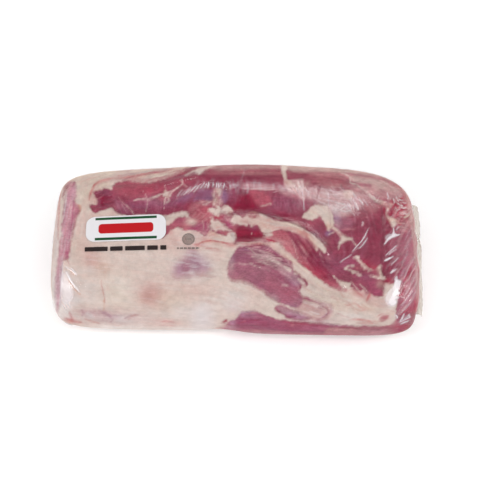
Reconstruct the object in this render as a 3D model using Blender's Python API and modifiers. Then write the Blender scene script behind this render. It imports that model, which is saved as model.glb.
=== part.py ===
# Half a boneless pork loin in a tight clear bag, lying on its flat underside.
# Metres, +Z up, X along the loin, the broad sloping side towards -Y.
# The bag and what is in it are one solid. The sealed tail of the bag is a second one.
import math

import bmesh
import bpy
import numpy as np
from mathutils import Matrix, Vector
from mathutils.bvhtree import BVHTree

MM = 0.001

# Driving sizes of the loin, millimetres
HALF_LENGTH = 140.5
HEIGHT = 82.0
BACK_REACH = 62.0           # from the long axis to the back edge, at mid-length
BACK_TAPER = 6.5            # how much of it is lost at each end
BACK_SKEW = 2.0             # more at the right end than at mid-length
FRONT_REACH = 68.0
FRONT_SKEW = 4.5
FRONT_WAIST = 3.0           # the front edge draws in a little left of the middle
FRONT_WAIST_AT = -0.08      # its place and width, as shares of the half length
FRONT_WAIST_WIDTH = 0.14
FRONT_LOBE = 1.0            # and swells again to the right of it
FRONT_LOBE_AT = 0.45
FRONT_LOBE_WIDTH = 0.25
FRONT_FALL = 9.0            # the broad side falls towards the front edge
END_FALL = 0.08             # share of the upper half lost at the ends
END_FALL_POWER = 2.5
LEFT_END_LEAN = 3.0
RIGHT_END_LEAN = 1.0
BASE_CUT = 0.8              # depth of the underside pressed flat

# Squareness of the outlines: 2 is an ellipse, large numbers are a box
UPPER_SQUARENESS = 2.9
LOWER_SQUARENESS = 4.5
LEFT_END_SQUARENESS = 10.0
RIGHT_FRONT_SQUARENESS = 9.0
RIGHT_BACK_SQUARENESS = 5.0

# Mesh: facets round the section and along the length, finer where the muscles show
ROUND_FACETS = 84
LENGTH_FACETS = 58
SHOWN_GIRTH = (-45.0, 150.0)
SHOWN_DENSITY = 1.75
BODY_DENSITY = 1.6
BODY_SHARE = 0.97           # of the half length, past which the end faces begin
TABLE_STEPS = 4000

# Relief of the muscles and fat: millimetres along X, millimetres of girth up and over
# from the front edge at mid-height, with the height of each form and how far it spreads
RELIEF = {
    "upper_roll": dict(height=2.2, reach=9, route=[(-97, 113), (-74, 112), (-58, 115), (-43, 120), (-28, 125)]),
    "upper_roll_groove": dict(height=-1.8, reach=5, route=[(-100, 104), (-85, 93), (-56, 89), (-39, 92),
                                                          (-29, 99), (-16, 109)]),
    "top_groove": dict(height=-0.9, reach=4, route=[(-96, 121), (-57, 123), (-40, 131)]),
    "tongue": dict(height=-1.5, reach=7, route=[(-110, 113), (-102, 116), (-95, 111)]),
    "tongue_crease": dict(height=-1.6, reach=4, route=[(-110, 99), (-102, 104), (-94, 106)]),
    "fold": dict(height=-1.6, reach=4, route=[(8, 111), (11, 101)]),
    "deep_pit": dict(height=-2.8, reach=8, route=[(3, 99), (13, 97)]),
    "dark_pit": dict(height=-3.2, reach=6, route=[(0, 75), (20, 75)]),
    "fat_ridge": dict(height=2.8, reach=6.5, route=[(-3, 86), (15, 88), (34, 82), (52, 75), (64, 66), (69, 60)]),
    "ridge_groove": dict(height=-1.7, reach=4, route=[(17, 95), (28, 90), (42, 86), (56, 79), (70, 68)]),
    "lean_strip": dict(height=1.1, reach=7, route=[(23, 72), (42, 67), (58, 56), (70, 44), (81, 35)]),
    "strip_groove": dict(height=-1.3, reach=4, route=[(14, 62), (30, 60), (46, 48), (60, 37), (84, 29)]),
    "eye_muscle": dict(height=2.1, reach=17, route=[(4, 50), (20, 42), (40, 28)]),
    "bottom_lean": dict(height=1.4, reach=8, route=[(-3, -11), (13, -3), (34, -11), (73, -12), (116, -16)]),
    "right_lean": dict(height=1.9, reach=12, route=[(92, 86), (101, 72)]),
    "right_crease": dict(height=-2.2, reach=4, route=[(115, 102), (116, 78), (113, 53), (114, 34)]),
    "shoulder_seam": dict(height=-1.2, reach=4, route=[(83, 132), (94, 122), (103, 112), (111, 105), (121, 104)]),
    "finger_groove": dict(height=-1.5, reach=4, route=[(83, 46), (94, 49), (110, 50)]),
}
SWELL = 0.55                # slow unevenness of the whole surface, and its wave lengths
SWELL_LONG = 31.0
SWELL_ROUND = 23.0
SWELL_SKEW_LONG = 17.0
SWELL_SKEW_ROUND = 29.0
PLEATS = 13                 # gathered film at the right end
PLEAT_DEPTH = 0.7
PLEAT_BEND = 1.4
PLEAT_START = 112.0

# The bag's sealed tail, gathered across the right end
TAIL_BACK_Y = 40.0
TAIL_FRONT_Y = -59.0
TAIL_BACK_Z = 50.0
TAIL_FRONT_Z = 28.0
TAIL_REACH = 5.0
TAIL_DROP = 7.0
TAIL_THICKNESS = 1.0
TAIL_RIPPLE = 1.3
TAIL_RIPPLES = 9
TAIL_WAVE = 2.0
TAIL_END_SIZE = 0.55        # share of the full reach left at the two ends
TAIL_GAP = 1.0              # from the end face to the middle of the film
TAIL_COLUMNS = 40
TAIL_ROWS = 6

MEAT_COLOUR = (0.55, 0.30, 0.30, 1.0)
FILM_COLOUR = (0.80, 0.74, 0.68, 1.0)


def smooth_step(t):
    t = np.clip(t, 0.0, 1.0)
    return t * t * (3.0 - 2.0 * t)


def bump(t, centre, width):
    return np.exp(-((t - centre) / width) ** 2)


def superellipse(angle, squareness):
    # Point of the unit superellipse |u|^n + |v|^n = 1 in the direction of the angle
    c, s = np.cos(angle), np.sin(angle)
    reach = (np.abs(c) ** squareness + np.abs(s) ** squareness) ** (-1.0 / squareness)
    return reach * c, reach * s


def loin_form(along, around):
    # A superelliptic section swept along a superelliptic meridian. "along" runs from the left
    # pole (0) to the right one (1); "around" from the front edge (0) over the top to the back.
    turn = 2.0 * math.pi * around
    squareness = UPPER_SQUARENESS + (LOWER_SQUARENESS - UPPER_SQUARENESS) * smooth_step(0.5 - np.sin(turn) / 2)
    u, v = superellipse(turn, squareness)
    across, up = -u, v
    sweep = math.pi * along
    right = smooth_step(0.5 - 2.0 * np.cos(sweep))
    back = smooth_step(0.5 + across / 2)
    right_end = RIGHT_FRONT_SQUARENESS + (RIGHT_BACK_SQUARENESS - RIGHT_FRONT_SQUARENESS) * back
    end = LEFT_END_SQUARENESS + (right_end - LEFT_END_SQUARENESS) * right
    u, shrink = superellipse(sweep, end)
    place = -u
    across = across * shrink
    up = up * shrink
    back_reach = BACK_REACH + BACK_SKEW * place - BACK_TAPER * place ** 2
    front_reach = (FRONT_REACH + FRONT_SKEW * place
                   + FRONT_LOBE * bump(place, FRONT_LOBE_AT, FRONT_LOBE_WIDTH)
                   - FRONT_WAIST * bump(place, FRONT_WAIST_AT, FRONT_WAIST_WIDTH))
    y = np.where(across > 0, across * back_reach, across * front_reach)
    upper = HEIGHT / 2 * (1.0 - END_FALL * np.abs(place) ** END_FALL_POWER)
    z = HEIGHT / 2 + np.where(up > 0, up * upper, up * HEIGHT / 2)
    z = z - FRONT_FALL * np.maximum(up, 0.0) * smooth_step(0.5 - across / 2)
    lean = np.where(place < 0, LEFT_END_LEAN, -RIGHT_END_LEAN)
    x = place * HALF_LENGTH + lean * across * place ** 2
    return np.stack([x, y, z], axis=-1)


def running_length(points):
    steps = np.linalg.norm(np.diff(points, axis=0), axis=1)
    return np.concatenate([[0.0], np.cumsum(steps)])


def spread(lengths, density):
    # Even shares of a line by length, with more of them where the density is higher
    weight = np.gradient(lengths) * density
    total = np.concatenate([[0.0], np.cumsum((weight[1:] + weight[:-1]) / 2)])
    return total / total[-1]


def signed_girth(length, girth):
    return np.where(length > 0.75 * girth, length - girth, length)


def relief_height(x, s):
    # Each form is a rounded rib or groove along its route: its height falls off with the
    # distance from the route as (1 - d^2)^2
    total = np.zeros_like(x)
    for form in RELIEF.values():
        nearest = np.full_like(x, np.inf)
        route = np.array(form["route"], dtype=float)
        for start, stop in zip(route[:-1], route[1:]):
            leg = stop - start
            share = ((x - start[0]) * leg[0] + (s - start[1]) * leg[1]) / (leg @ leg)
            share = np.clip(share, 0.0, 1.0)
            away = np.hypot(x - start[0] - share * leg[0], s - start[1] - share * leg[1])
            nearest = np.minimum(nearest, away)
        fall = np.clip(1.0 - (nearest / form["reach"]) ** 2, 0.0, 1.0)
        total += form["height"] * fall ** 2
    return total


def swell_height(x, s):
    broad = np.sin(x / SWELL_LONG + 1.3) * np.cos(s / SWELL_ROUND + 0.4)
    return SWELL * (broad + 0.6 * np.sin(x / SWELL_SKEW_LONG - s / SWELL_SKEW_ROUND))


def pleat_height(x, around):
    strength = smooth_step((x - PLEAT_START) / (HALF_LENGTH - PLEAT_START))
    bend = PLEAT_BEND * np.sin(2.0 * math.pi * around + 0.8)
    return PLEAT_DEPTH * strength ** 2 * np.cos(2.0 * math.pi * PLEATS * around + bend)


def make_material(name, colour, roughness):
    material = bpy.data.materials.new(name)
    material.use_nodes = True
    shader = material.node_tree.nodes["Principled BSDF"]
    shader.inputs["Base Color"].default_value = colour
    shader.inputs["Roughness"].default_value = roughness
    shader.inputs["Metallic"].default_value = 0.0
    material.diffuse_color = colour
    return material


def make_loin(collection):
    # A UV sphere with its poles at the two ends, whose vertices are then moved to the form
    table = np.linspace(0.0, 1.0, TABLE_STEPS)
    girth_run = running_length(loin_form(np.full_like(table, 0.5), table))
    girth = girth_run[-1]
    table_s = signed_girth(girth_run, girth)
    shown = (table_s > SHOWN_GIRTH[0]) & (table_s < SHOWN_GIRTH[1])
    round_share = spread(girth_run, np.where(shown, SHOWN_DENSITY, 1.0))
    crest = loin_form(table, np.full_like(table, 0.25))
    length_run = running_length(crest)
    on_body = np.abs(crest[:, 0]) < BODY_SHARE * HALF_LENGTH
    length_share = spread(length_run, np.where(on_body, BODY_DENSITY, 1.0))

    work = bmesh.new()
    bmesh.ops.create_uvsphere(work, u_segments=ROUND_FACETS, v_segments=LENGTH_FACETS, radius=1.0,
                              matrix=Matrix.Rotation(math.radians(90.0), 4, "Y"))
    mesh = bpy.data.meshes.new("pork_loin")
    work.to_mesh(mesh)
    work.free()

    count = len(mesh.vertices)
    flat = np.empty(3 * count, dtype=np.float32)
    mesh.vertices.foreach_get("co", flat)
    unit = flat.reshape(-1, 3).astype(float)
    share_along = np.arccos(np.clip(-unit[:, 0], -1.0, 1.0)) / math.pi
    share_round = (np.arctan2(unit[:, 2], -unit[:, 1]) / (2.0 * math.pi)) % 1.0
    along = np.interp(share_along, length_share, table)
    around = np.interp(share_round, round_share, table)
    base = loin_form(along, around)

    # Outward normals of the bare form carry the relief
    mesh.vertices.foreach_set("co", (base * MM).astype(np.float32).ravel())
    mesh.update()
    normals = np.empty(3 * count, dtype=np.float32)
    mesh.vertex_normals.foreach_get("vector", normals)
    normals = normals.reshape(-1, 3).astype(float)
    s = signed_girth(np.interp(around, table, girth_run), girth)
    x = base[:, 0]
    lift = relief_height(x, s) + swell_height(x, s) + pleat_height(x, around)
    points = base + normals * lift[:, None]
    points[:, 2] = np.maximum(points[:, 2] - BASE_CUT, 0.0)
    mesh.vertices.foreach_set("co", (points * MM).astype(np.float32).ravel())
    mesh.update()
    mesh.shade_smooth()

    loin = bpy.data.objects.new("pork_loin", mesh)
    loin.data.materials.append(make_material("bagged_meat", MEAT_COLOUR, 0.25))
    collection.objects.link(loin)
    return loin


def end_face_x(tree, y, z):
    hit = tree.ray_cast(Vector((2.0 * HALF_LENGTH * MM, y * MM, z * MM)), Vector((-1.0, 0.0, 0.0)))
    return hit[0].x / MM


def make_tail(collection, loin):
    # A ribbon of film that leaves the end face, turns down and ripples along its free edge
    tree = BVHTree.FromPolygons([v.co.copy() for v in loin.data.vertices],
                                [tuple(p.vertices) for p in loin.data.polygons])
    work = bmesh.new()
    rows = []
    for column in range(TAIL_COLUMNS + 1):
        t = column / TAIL_COLUMNS
        y = TAIL_BACK_Y + (TAIL_FRONT_Y - TAIL_BACK_Y) * t
        z = TAIL_BACK_Z + (TAIL_FRONT_Z - TAIL_BACK_Z) * t + TAIL_WAVE * math.sin(5.0 * t + 0.5)
        foot = end_face_x(tree, y, z) + TAIL_GAP
        size = TAIL_END_SIZE + (1.0 - TAIL_END_SIZE) * math.sqrt(math.sin(math.pi * t))
        ripple = TAIL_RIPPLE * math.sin(2.0 * math.pi * TAIL_RIPPLES * t + 2.0 * math.sin(7.0 * t))
        ring = []
        for row in range(TAIL_ROWS + 1):
            w = row / TAIL_ROWS
            out = TAIL_REACH * size * math.sin(0.5 * math.pi * w)
            drop = TAIL_DROP * size * w ** 2
            sway = ripple * w
            spot_y = y + 0.5 * sway
            spot_z = z - drop + sway
            clear = end_face_x(tree, spot_y, spot_z) + TAIL_GAP
            spot_x = max(foot + out + 0.4 * sway, clear)
            ring.append(work.verts.new((spot_x * MM, spot_y * MM, spot_z * MM)))
        rows.append(ring)
    for first, second in zip(rows[:-1], rows[1:]):
        for row in range(TAIL_ROWS):
            work.faces.new((first[row], first[row + 1], second[row + 1], second[row]))
    mesh = bpy.data.meshes.new("bag_tail")
    work.to_mesh(mesh)
    work.free()
    mesh.shade_smooth()

    tail = bpy.data.objects.new("bag_tail", mesh)
    solidify = tail.modifiers.new("film", "SOLIDIFY")
    solidify.thickness = TAIL_THICKNESS * MM
    solidify.offset = 0.0
    tail.data.materials.append(make_material("bag_film", FILM_COLOUR, 0.2))
    collection.objects.link(tail)
    return tail


def centre_on_base(objects):
    # The origin is the middle of the whole object's footprint, on the surface it lies on
    low = np.full(3, np.inf)
    high = np.full(3, -np.inf)
    graph = bpy.context.evaluated_depsgraph_get()
    for item in objects:
        mesh = item.evaluated_get(graph).to_mesh()
        flat = np.empty(3 * len(mesh.vertices), dtype=np.float32)
        mesh.vertices.foreach_get("co", flat)
        spots = flat.reshape(-1, 3)
        low = np.minimum(low, spots.min(axis=0))
        high = np.maximum(high, spots.max(axis=0))
        item.evaluated_get(graph).to_mesh_clear()
    middle = (low + high) / 2
    shift = Matrix.Translation((-float(middle[0]), -float(middle[1]), -float(low[2])))
    for item in objects:
        item.data.transform(shift)
        item.data.update()
    print("shift", [round(float(v), 5) for v in shift.translation], "size", (high - low).round(4))


for old in list(bpy.data.objects):
    bpy.data.objects.remove(old, do_unlink=True)

loin_collection = bpy.data.collections.new("raw_pork_loin")
bpy.context.scene.collection.children.link(loin_collection)
pork_loin = make_loin(loin_collection)
bag_tail = make_tail(loin_collection, pork_loin)
bpy.context.view_layer.update()
centre_on_base([pork_loin, bag_tail])
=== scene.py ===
import math

import bpy
import numpy as np
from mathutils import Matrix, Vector


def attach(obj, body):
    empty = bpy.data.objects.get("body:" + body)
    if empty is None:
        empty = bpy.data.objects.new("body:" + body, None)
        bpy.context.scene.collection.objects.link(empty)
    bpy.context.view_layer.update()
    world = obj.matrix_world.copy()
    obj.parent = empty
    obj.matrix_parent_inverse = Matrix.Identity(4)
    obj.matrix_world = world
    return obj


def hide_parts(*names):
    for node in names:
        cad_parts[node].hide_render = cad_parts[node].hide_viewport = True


# Raw pork loin in a sealed clear bag: the meat, the film round it, the film's gathered
# tail and a plain print on the film. Millimetres in the shapes, metres in the meshes.

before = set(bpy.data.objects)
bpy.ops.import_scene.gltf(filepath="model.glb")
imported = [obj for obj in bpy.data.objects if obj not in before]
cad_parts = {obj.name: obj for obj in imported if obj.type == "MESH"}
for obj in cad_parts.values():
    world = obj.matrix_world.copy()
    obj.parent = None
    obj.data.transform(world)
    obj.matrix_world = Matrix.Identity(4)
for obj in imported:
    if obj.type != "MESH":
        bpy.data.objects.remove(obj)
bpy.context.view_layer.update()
mm = 0.001


# Numbers between 0 and 1 on an S-shaped ramp: 3t^2 - 2t^3
def ease(t):
    t = np.clip(t, 0, 1)
    return t * t * (3 - 2 * t)


# The bell exp(-((t - centre) / width)^2)
def bell(t, centre, width):
    return np.exp(-((t - centre) / width) ** 2)


# The form of the loin, as the frame has it

loin = dict(
    halfLength=140.5, height=82,
    backReach=62, backTaper=6.5, backSkew=2,
    frontReach=68, frontSkew=4.5,
    waist=3, waistAt=-0.08, waistWidth=0.14,
    lobe=1, lobeAt=0.45, lobeWidth=0.25,
    frontFall=9, endFall=0.08, endFallPower=2.5,
    leftLean=3, rightLean=1,
    upperSquareness=2.9, lowerSquareness=4.5,
    leftEnd=10, rightFront=10.2, rightBack=5,
    baseCut=0.8,                     # underside pressed flat
    place=(-3.21, 4.65, 0.0),        # from the loin's own middle to the frame's origin
)


# Unit superellipse |a|^n + |b|^n = 1 in the direction of the angle
def superellipse(angle, n):
    c, s = np.cos(angle), np.sin(angle)
    reach = (np.abs(c) ** n + np.abs(s) ** n) ** (-1 / n)
    return reach * c, reach * s


# Superelliptic section swept along a superelliptic meridian: along 0 to 1 is left pole to
# right pole, around 0 to 1 is front edge, top, back, underside
def loinForm(along, around):
    f = loin
    turn = 2 * math.pi * around
    below = ease(0.5 - np.sin(turn) / 2)
    n = f["upperSquareness"] + (f["lowerSquareness"] - f["upperSquareness"]) * below
    across, up = superellipse(turn, n)
    across = -across
    sweep = math.pi * along
    right = ease(0.5 - 2 * np.cos(sweep))
    back = ease(0.5 + across / 2)
    rightEnd = f["rightFront"] + (f["rightBack"] - f["rightFront"]) * back
    place, shrink = superellipse(sweep, f["leftEnd"] + (rightEnd - f["leftEnd"]) * right)
    place = -place
    across, up = across * shrink, up * shrink
    backReach = f["backReach"] + f["backSkew"] * place - f["backTaper"] * place ** 2
    frontReach = (f["frontReach"] + f["frontSkew"] * place
                  + f["lobe"] * bell(place, f["lobeAt"], f["lobeWidth"])
                  - f["waist"] * bell(place, f["waistAt"], f["waistWidth"]))
    y = np.where(across > 0, across * backReach, across * frontReach)
    upper = f["height"] / 2 * (1 - f["endFall"] * np.abs(place) ** f["endFallPower"])
    z = f["height"] / 2 + np.where(up > 0, up * upper, up * f["height"] / 2)
    z = z - f["frontFall"] * np.maximum(up, 0) * ease(0.5 - across / 2)
    lean = np.where(place < 0, f["leftLean"], -f["rightLean"])
    return np.stack([place * f["halfLength"] + lean * across * place ** 2, y, z], -1)


grid = dict(
    rings=350, spokes=262,
    shown=(-52.0, 142.0),            # girth in millimetres that gets the fine spokes
    shownDensity=3.4,
    bodyShare=0.985, bodyDensity=2.0,
)


# Running length of a line of points
def runOf(points):
    return np.concatenate([[0], np.cumsum(np.linalg.norm(np.diff(points, axis=0), axis=1))])


# Stations on a line so that their spacing falls where the density is higher
def stations(table, run, density, shares):
    weight = np.gradient(run) * density
    total = np.concatenate([[0], np.cumsum((weight[1:] + weight[:-1]) / 2)])
    return np.interp(shares, total / total[-1], table)


table = np.linspace(0, 1, 4001)
girthRun = runOf(loinForm(np.full_like(table, 0.5), table))
girth = girthRun[-1]
girthSigned = np.where(girthRun > 0.75 * girth, girthRun - girth, girthRun)
crest = loinForm(table, np.full_like(table, 0.25))
inShown = (girthSigned > grid["shown"][0]) & (girthSigned < grid["shown"][1])
onBody = np.abs(crest[:, 0]) < grid["bodyShare"] * loin["halfLength"]
alongAt = stations(table, runOf(crest), np.where(onBody, grid["bodyDensity"], 1.0),
                   np.arange(1, grid["rings"] + 1) / (grid["rings"] + 1))
aroundAt = stations(table, girthRun, np.where(inShown, grid["shownDensity"], 1.0),
                    np.arange(grid["spokes"]) / grid["spokes"])
along, around = np.meshgrid(alongAt, aroundAt, indexing="ij")
bare = loinForm(along, around)
crossAt = bare[..., 0]
girthHere = np.interp(around, table, girthRun)
girthHere = np.where(girthHere > 0.75 * girth, girthHere - girth, girthHere)


# Outward normals of a grid of rings, by crossing its two directions
def normalsOf(rings):
    lengthways = np.gradient(rings, axis=0)
    roundways = np.roll(rings, -1, 1) - np.roll(rings, 1, 1)
    n = np.cross(lengthways, roundways)
    return n / (np.linalg.norm(n, axis=-1, keepdims=True) + 1e-12)


bareNormals = normalsOf(bare)

# Ribs and grooves of the muscles: height and reach in millimetres, then the route as
# millimetres along and millimetres of girth up from the front edge
muscleForms = {
    "upperRoll": (2.2, 9, "-97,113 -74,112 -58,115 -43,120 -28,125"),
    "upperRollGroove": (-1.8, 5, "-100,104 -85,93 -56,89 -39,92 -29,99 -16,109"),
    "topGroove": (-0.9, 4, "-96,121 -57,123 -40,131"),
    "tongue": (-1.5, 7, "-110,113 -102,116 -95,111"),
    "tongueCrease": (-1.6, 4, "-110,99 -102,104 -94,106"),
    "fold": (-1.6, 4, "8,111 11,101"),
    "deepPit": (-2.8, 8, "3,99 13,97"),
    "darkPit": (-3.2, 6, "0,75 20,75"),
    "fatRidge": (2.8, 6.5, "-3,86 15,88 34,82 52,75 64,66 69,60"),
    "ridgeGroove": (-1.7, 4, "17,95 28,90 42,86 56,79 70,68"),
    "leanStrip": (1.1, 7, "23,72 42,67 58,56 70,44 81,35"),
    "stripGroove": (-1.3, 4, "14,62 30,60 46,48 60,37 84,29"),
    "eyeMuscle": (2.1, 17, "4,50 20,42 40,28"),
    "bottomLean": (1.4, 8, "-3,-11 13,-3 34,-11 73,-12 116,-16"),
    "rightLean": (1.9, 12, "92,86 101,72"),
    "rightCrease": (-2.2, 4, "115,102 116,78 113,53 114,34"),
    "shoulderSeam": (-1.2, 4, "83,132 94,122 103,112 111,105 121,104"),
    "fingerGroove": (-1.5, 4, "83,46 94,49 110,50"),
}
swell = dict(height=0.55, long=31, longShift=1.3, round=23, roundShift=0.4,
             skew=0.6, skewLong=17, skewRound=29)
pleats = dict(count=13, depth=0.7, bend=1.4, shift=0.8, start=112)
filmGap = 0.6                        # from the film to the meat


# The places of a route as rows of two numbers
def spots(text):
    return np.array([[float(n) for n in pair.split(",")] for pair in text.split()])


# Distance of each point from each leg of a line, and how far along the leg it is
def legDistance(u, v, a, b):
    leg = b - a
    t = (u[:, None] - a[:, 0]) * leg[:, 0] + (v[:, None] - a[:, 1]) * leg[:, 1]
    t = np.clip(t / ((leg ** 2).sum(1) + 1e-9), 0, 1)
    return np.hypot(u[:, None] - a[:, 0] - t * leg[:, 0], v[:, None] - a[:, 1] - t * leg[:, 1]), t


# Height of the ribs and of the grooves apart: each falls off from its route as (1 - d^2)^2
def formHeights(x, s):
    ribs, grooves = np.zeros(x.size), np.zeros(x.size)
    for height, reach, route in muscleForms.values():
        line = spots(route)
        away = legDistance(x.ravel(), s.ravel(), line[:-1], line[1:])[0].min(1)
        fall = height * np.clip(1 - (away / reach) ** 2, 0, 1) ** 2
        if height > 0:
            ribs += fall
        else:
            grooves += fall
    return ribs.reshape(x.shape), grooves.reshape(x.shape)


ribs, grooves = formHeights(crossAt, girthHere)
longWave = np.sin(crossAt / swell["long"] + swell["longShift"])
roundWave = np.cos(girthHere / swell["round"] + swell["roundShift"])
skewWave = np.sin(crossAt / swell["skewLong"] - girthHere / swell["skewRound"])
slow = (longWave * roundWave + swell["skew"] * skewWave) * swell["height"]
pleatRise = ease((crossAt - pleats["start"]) / (loin["halfLength"] - pleats["start"]))
pleatWave = np.cos(2 * math.pi * pleats["count"] * around
                   + pleats["bend"] * np.sin(2 * math.pi * around + pleats["shift"]))
outer = slow + pleats["depth"] * pleatRise ** 2 * pleatWave
print("form: rings", grid["rings"], "spokes", grid["spokes"], "girth", round(float(girth), 1))


# The photograph's frame: where a point of the loin falls in 480 by 480 pixels

lens = dict(distance=1300.0, elevation=60.0, pixelSize=0.785, middle=(235.4, 243.4), frame=480,
            sensor=36.0, leastFacing=0.03)
lookDown = math.radians(lens["elevation"])
aim = np.array([0, 0, loin["height"] / 2])
eye = aim + lens["distance"] * np.array([0, -math.cos(lookDown), math.sin(lookDown)])


# Pinhole: sideways and upward offsets from the aim over the depth
def toPicture(points):
    v = points - aim
    depth = lens["distance"] + v @ np.array([0, math.cos(lookDown), -math.sin(lookDown)])
    f = lens["distance"] / lens["pixelSize"]
    upward = v @ np.array([0, math.sin(lookDown), math.cos(lookDown)])
    return lens["middle"][0] + f * v[..., 0] / depth, lens["middle"][1] - f * upward / depth


# Picture place of every grid point. A point out of sight takes the place of the nearest
# seen point on its ring, or on the last ring that is seen, and its distance from it.
def picturePlace(points, normals):
    u, v = toPicture(points)
    toEye = eye - points
    facing = (normals * toEye).sum(-1) / np.linalg.norm(toEye, axis=-1)
    seen = facing > lens["leastFacing"]
    rings, spokes = seen.shape
    step = np.arange(2 * spokes)
    twice = np.concatenate([seen, seen], 1)
    back = np.maximum.accumulate(np.where(twice, step, -1), 1)[:, spokes:]
    ahead = np.minimum.accumulate(np.where(twice, step, 4 * spokes)[:, ::-1], 1)[:, ::-1][:, :spokes]
    here = np.arange(spokes)
    useBack = (here + spokes - back) <= (ahead - here)
    source = np.where(useBack, back, ahead) % spokes
    full = np.flatnonzero(seen.any(1))
    ring = np.clip(np.arange(rings), full[0], full[-1])
    source = source[ring]
    row = np.broadcast_to(ring[:, None], source.shape)
    away = np.linalg.norm(points - points[row, source], axis=-1)
    return u[row, source], v[row, source], np.where(seen, 0.0, away)


# The tones are colours seen through the film, so the film's own shine comes off them

# The studio is brightest low down behind; sines of the angles between which that falls off
studioGlow = dict(backdrop=1.0, rest=0.22, up=(0.18, 0.46), back=(-0.35, 0.35))
filmShine = dict(straight=0.04, grazing=0.34, power=5.0)
# What comes back from the meat through the film, per unit of its colour, is
# even + slopes . normal, less what the film mirrors. Out of sight one plain value holds.
light = dict(even=0.814, slopes=(-0.034, -0.332, 0.347), meatShine=0.006, mostVeil=0.12,
             leastGain=0.68, plainGain=1.12, plainVeil=0.02, fade=8.0, keep=0.45,
             darkest=0.006, brightest=0.9)


# Shine towards the eye: the share that the film mirrors, which is
# straight + (grazing - straight)(1 - facing)^power, and that share times the studio's brightness
# in the mirror direction
def shineOn(points, normals):
    toEye = eye - points
    toEye = toEye / np.linalg.norm(toEye, axis=-1, keepdims=True)
    facing = np.clip((normals * toEye).sum(-1), 0, 1)
    mirrored = 2 * facing[..., None] * normals - toEye
    g, f = studioGlow, filmShine
    low = 1 - ease((mirrored[..., 2] - g["up"][0]) / (g["up"][1] - g["up"][0]))
    behind = ease((mirrored[..., 1] - g["back"][0]) / (g["back"][1] - g["back"][0]))
    share = f["straight"] + (f["grazing"] - f["straight"]) * (1 - facing) ** f["power"]
    return share, share * (g["rest"] + (g["backdrop"] - g["rest"]) * low * behind)


# Colour of the meat itself from the colour seen through the film: (seen - veil) / gain, where
# at least a share of the seen colour is kept
def underFilm(seen, veil, gain):
    own = np.maximum(seen - veil, light["keep"] * seen) / gain
    return np.clip(own, light["darkest"], light["brightest"])


meatBase = bare + bareNormals * (outer + ribs + grooves)[..., None]
pictureU, pictureV, hiddenBy = picturePlace(meatBase, normalsOf(meatBase))
unseen = ease(hiddenBy / light["fade"])
mirrorShare, shine = shineOn(bare, bareNormals)
veil = np.minimum(light["meatShine"] + shine, light["mostVeil"])
veil = (veil + (light["plainVeil"] - veil) * unseen).reshape(-1, 1)
gain = (light["even"] + bareNormals @ np.array(light["slopes"])) * (1 - mirrorShare)
gain = np.maximum(gain, light["leastGain"])
gain = (gain + (light["plainGain"] - gain) * unseen).reshape(-1, 1)
print("picture: seen points", int((hiddenBy == 0).sum()))


# Tools that draw soft shapes on the picture plane

# Catmull-Rom curve through the points
def bend(points, closed, steps=5):
    if closed:
        before, start = np.roll(points, 1, 0), points
        after, last = np.roll(points, -1, 0), np.roll(points, -2, 0)
    else:
        before, start = np.vstack([points[:1], points[:-1]])[:-1], points[:-1]
        after, last = points[1:], np.vstack([points[2:], points[-1:]])
    t = np.linspace(0, 1, steps, endpoint=False)[None, :, None]
    a, b, c, d = before[:, None], start[:, None], after[:, None], last[:, None]
    line = b + 0.5 * ((c - a) * t + (2 * a - 5 * b + 4 * c - d) * t ** 2
                      + (3 * b - a - 3 * c + d) * t ** 3)
    line = line.reshape(-1, 2)
    return line if closed else np.vstack([line, points[-1:]])


# Which points lie in the box round a line
def near(u, v, line, margin):
    low, high = line.min(0) - margin, line.max(0) + margin
    return np.flatnonzero((u > low[0]) & (u < high[0]) & (v > low[1]) & (v < high[1]))


# Signed distance to a closed outline, positive inside
def patch(u, v, text, margin=14.0):
    line = bend(spots(text), True)
    out = np.full(u.shape, -margin)
    pick = near(u, v, line, margin)
    a, b = line, np.roll(line, -1, 0)
    for part in np.array_split(pick, max(1, len(pick) * len(line) // 4000000)):
        if len(part):
            pu, pv = u[part], v[part]
            far = legDistance(pu, pv, a, b)[0].min(1)
            crosses = (a[:, 1] > pv[:, None]) != (b[:, 1] > pv[:, None])
            at = a[:, 0] + (pv[:, None] - a[:, 1]) * (b[:, 0] - a[:, 0]) / (b[:, 1] - a[:, 1] + 1e-12)
            inside = ((crosses & (pu[:, None] < at)).sum(1) % 2) == 1
            out[part] = np.clip(np.where(inside, far, -far), -margin, margin)
    return out


# Half width less the distance to an open route, with the width falling to nothing at its ends
def stroke(u, v, text, width, margin=8.0):
    line = bend(spots(text), False)
    out = np.full(u.shape, -margin)
    pick = near(u, v, line, margin + width)
    if len(pick):
        run = runOf(line) / runOf(line)[-1]
        far, t = legDistance(u[pick], v[pick], line[:-1], line[1:])
        k = far.argmin(1)
        row = np.arange(len(pick))
        at = run[k] + t[row, k] * (run[k + 1] - run[k])
        half = 0.5 * width * np.clip(4 * at * (1 - at), 0, 1) ** 0.3
        out[pick] = half - far[row, k]
    return out


# 0 to 1 across the border of a signed distance
def soft(distance, width):
    return ease(distance / width + 0.5)


# Round soft spot exp(-d^2) from "x,y rx,ry", with a turn in degrees as an optional third pair
def spot(u, v, text):
    p = spots(text)
    turn = math.radians(p[2][0]) if len(p) > 2 else 0.0
    du, dv = u - p[0][0], v - p[0][1]
    a = (du * math.cos(turn) + dv * math.sin(turn)) / p[1][0]
    b = (dv * math.cos(turn) - du * math.sin(turn)) / p[1][1]
    return np.exp(-(a * a + b * b))


lattice = dict(size=128, shift=(17.3, 5.1), seedStep=31)


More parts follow.
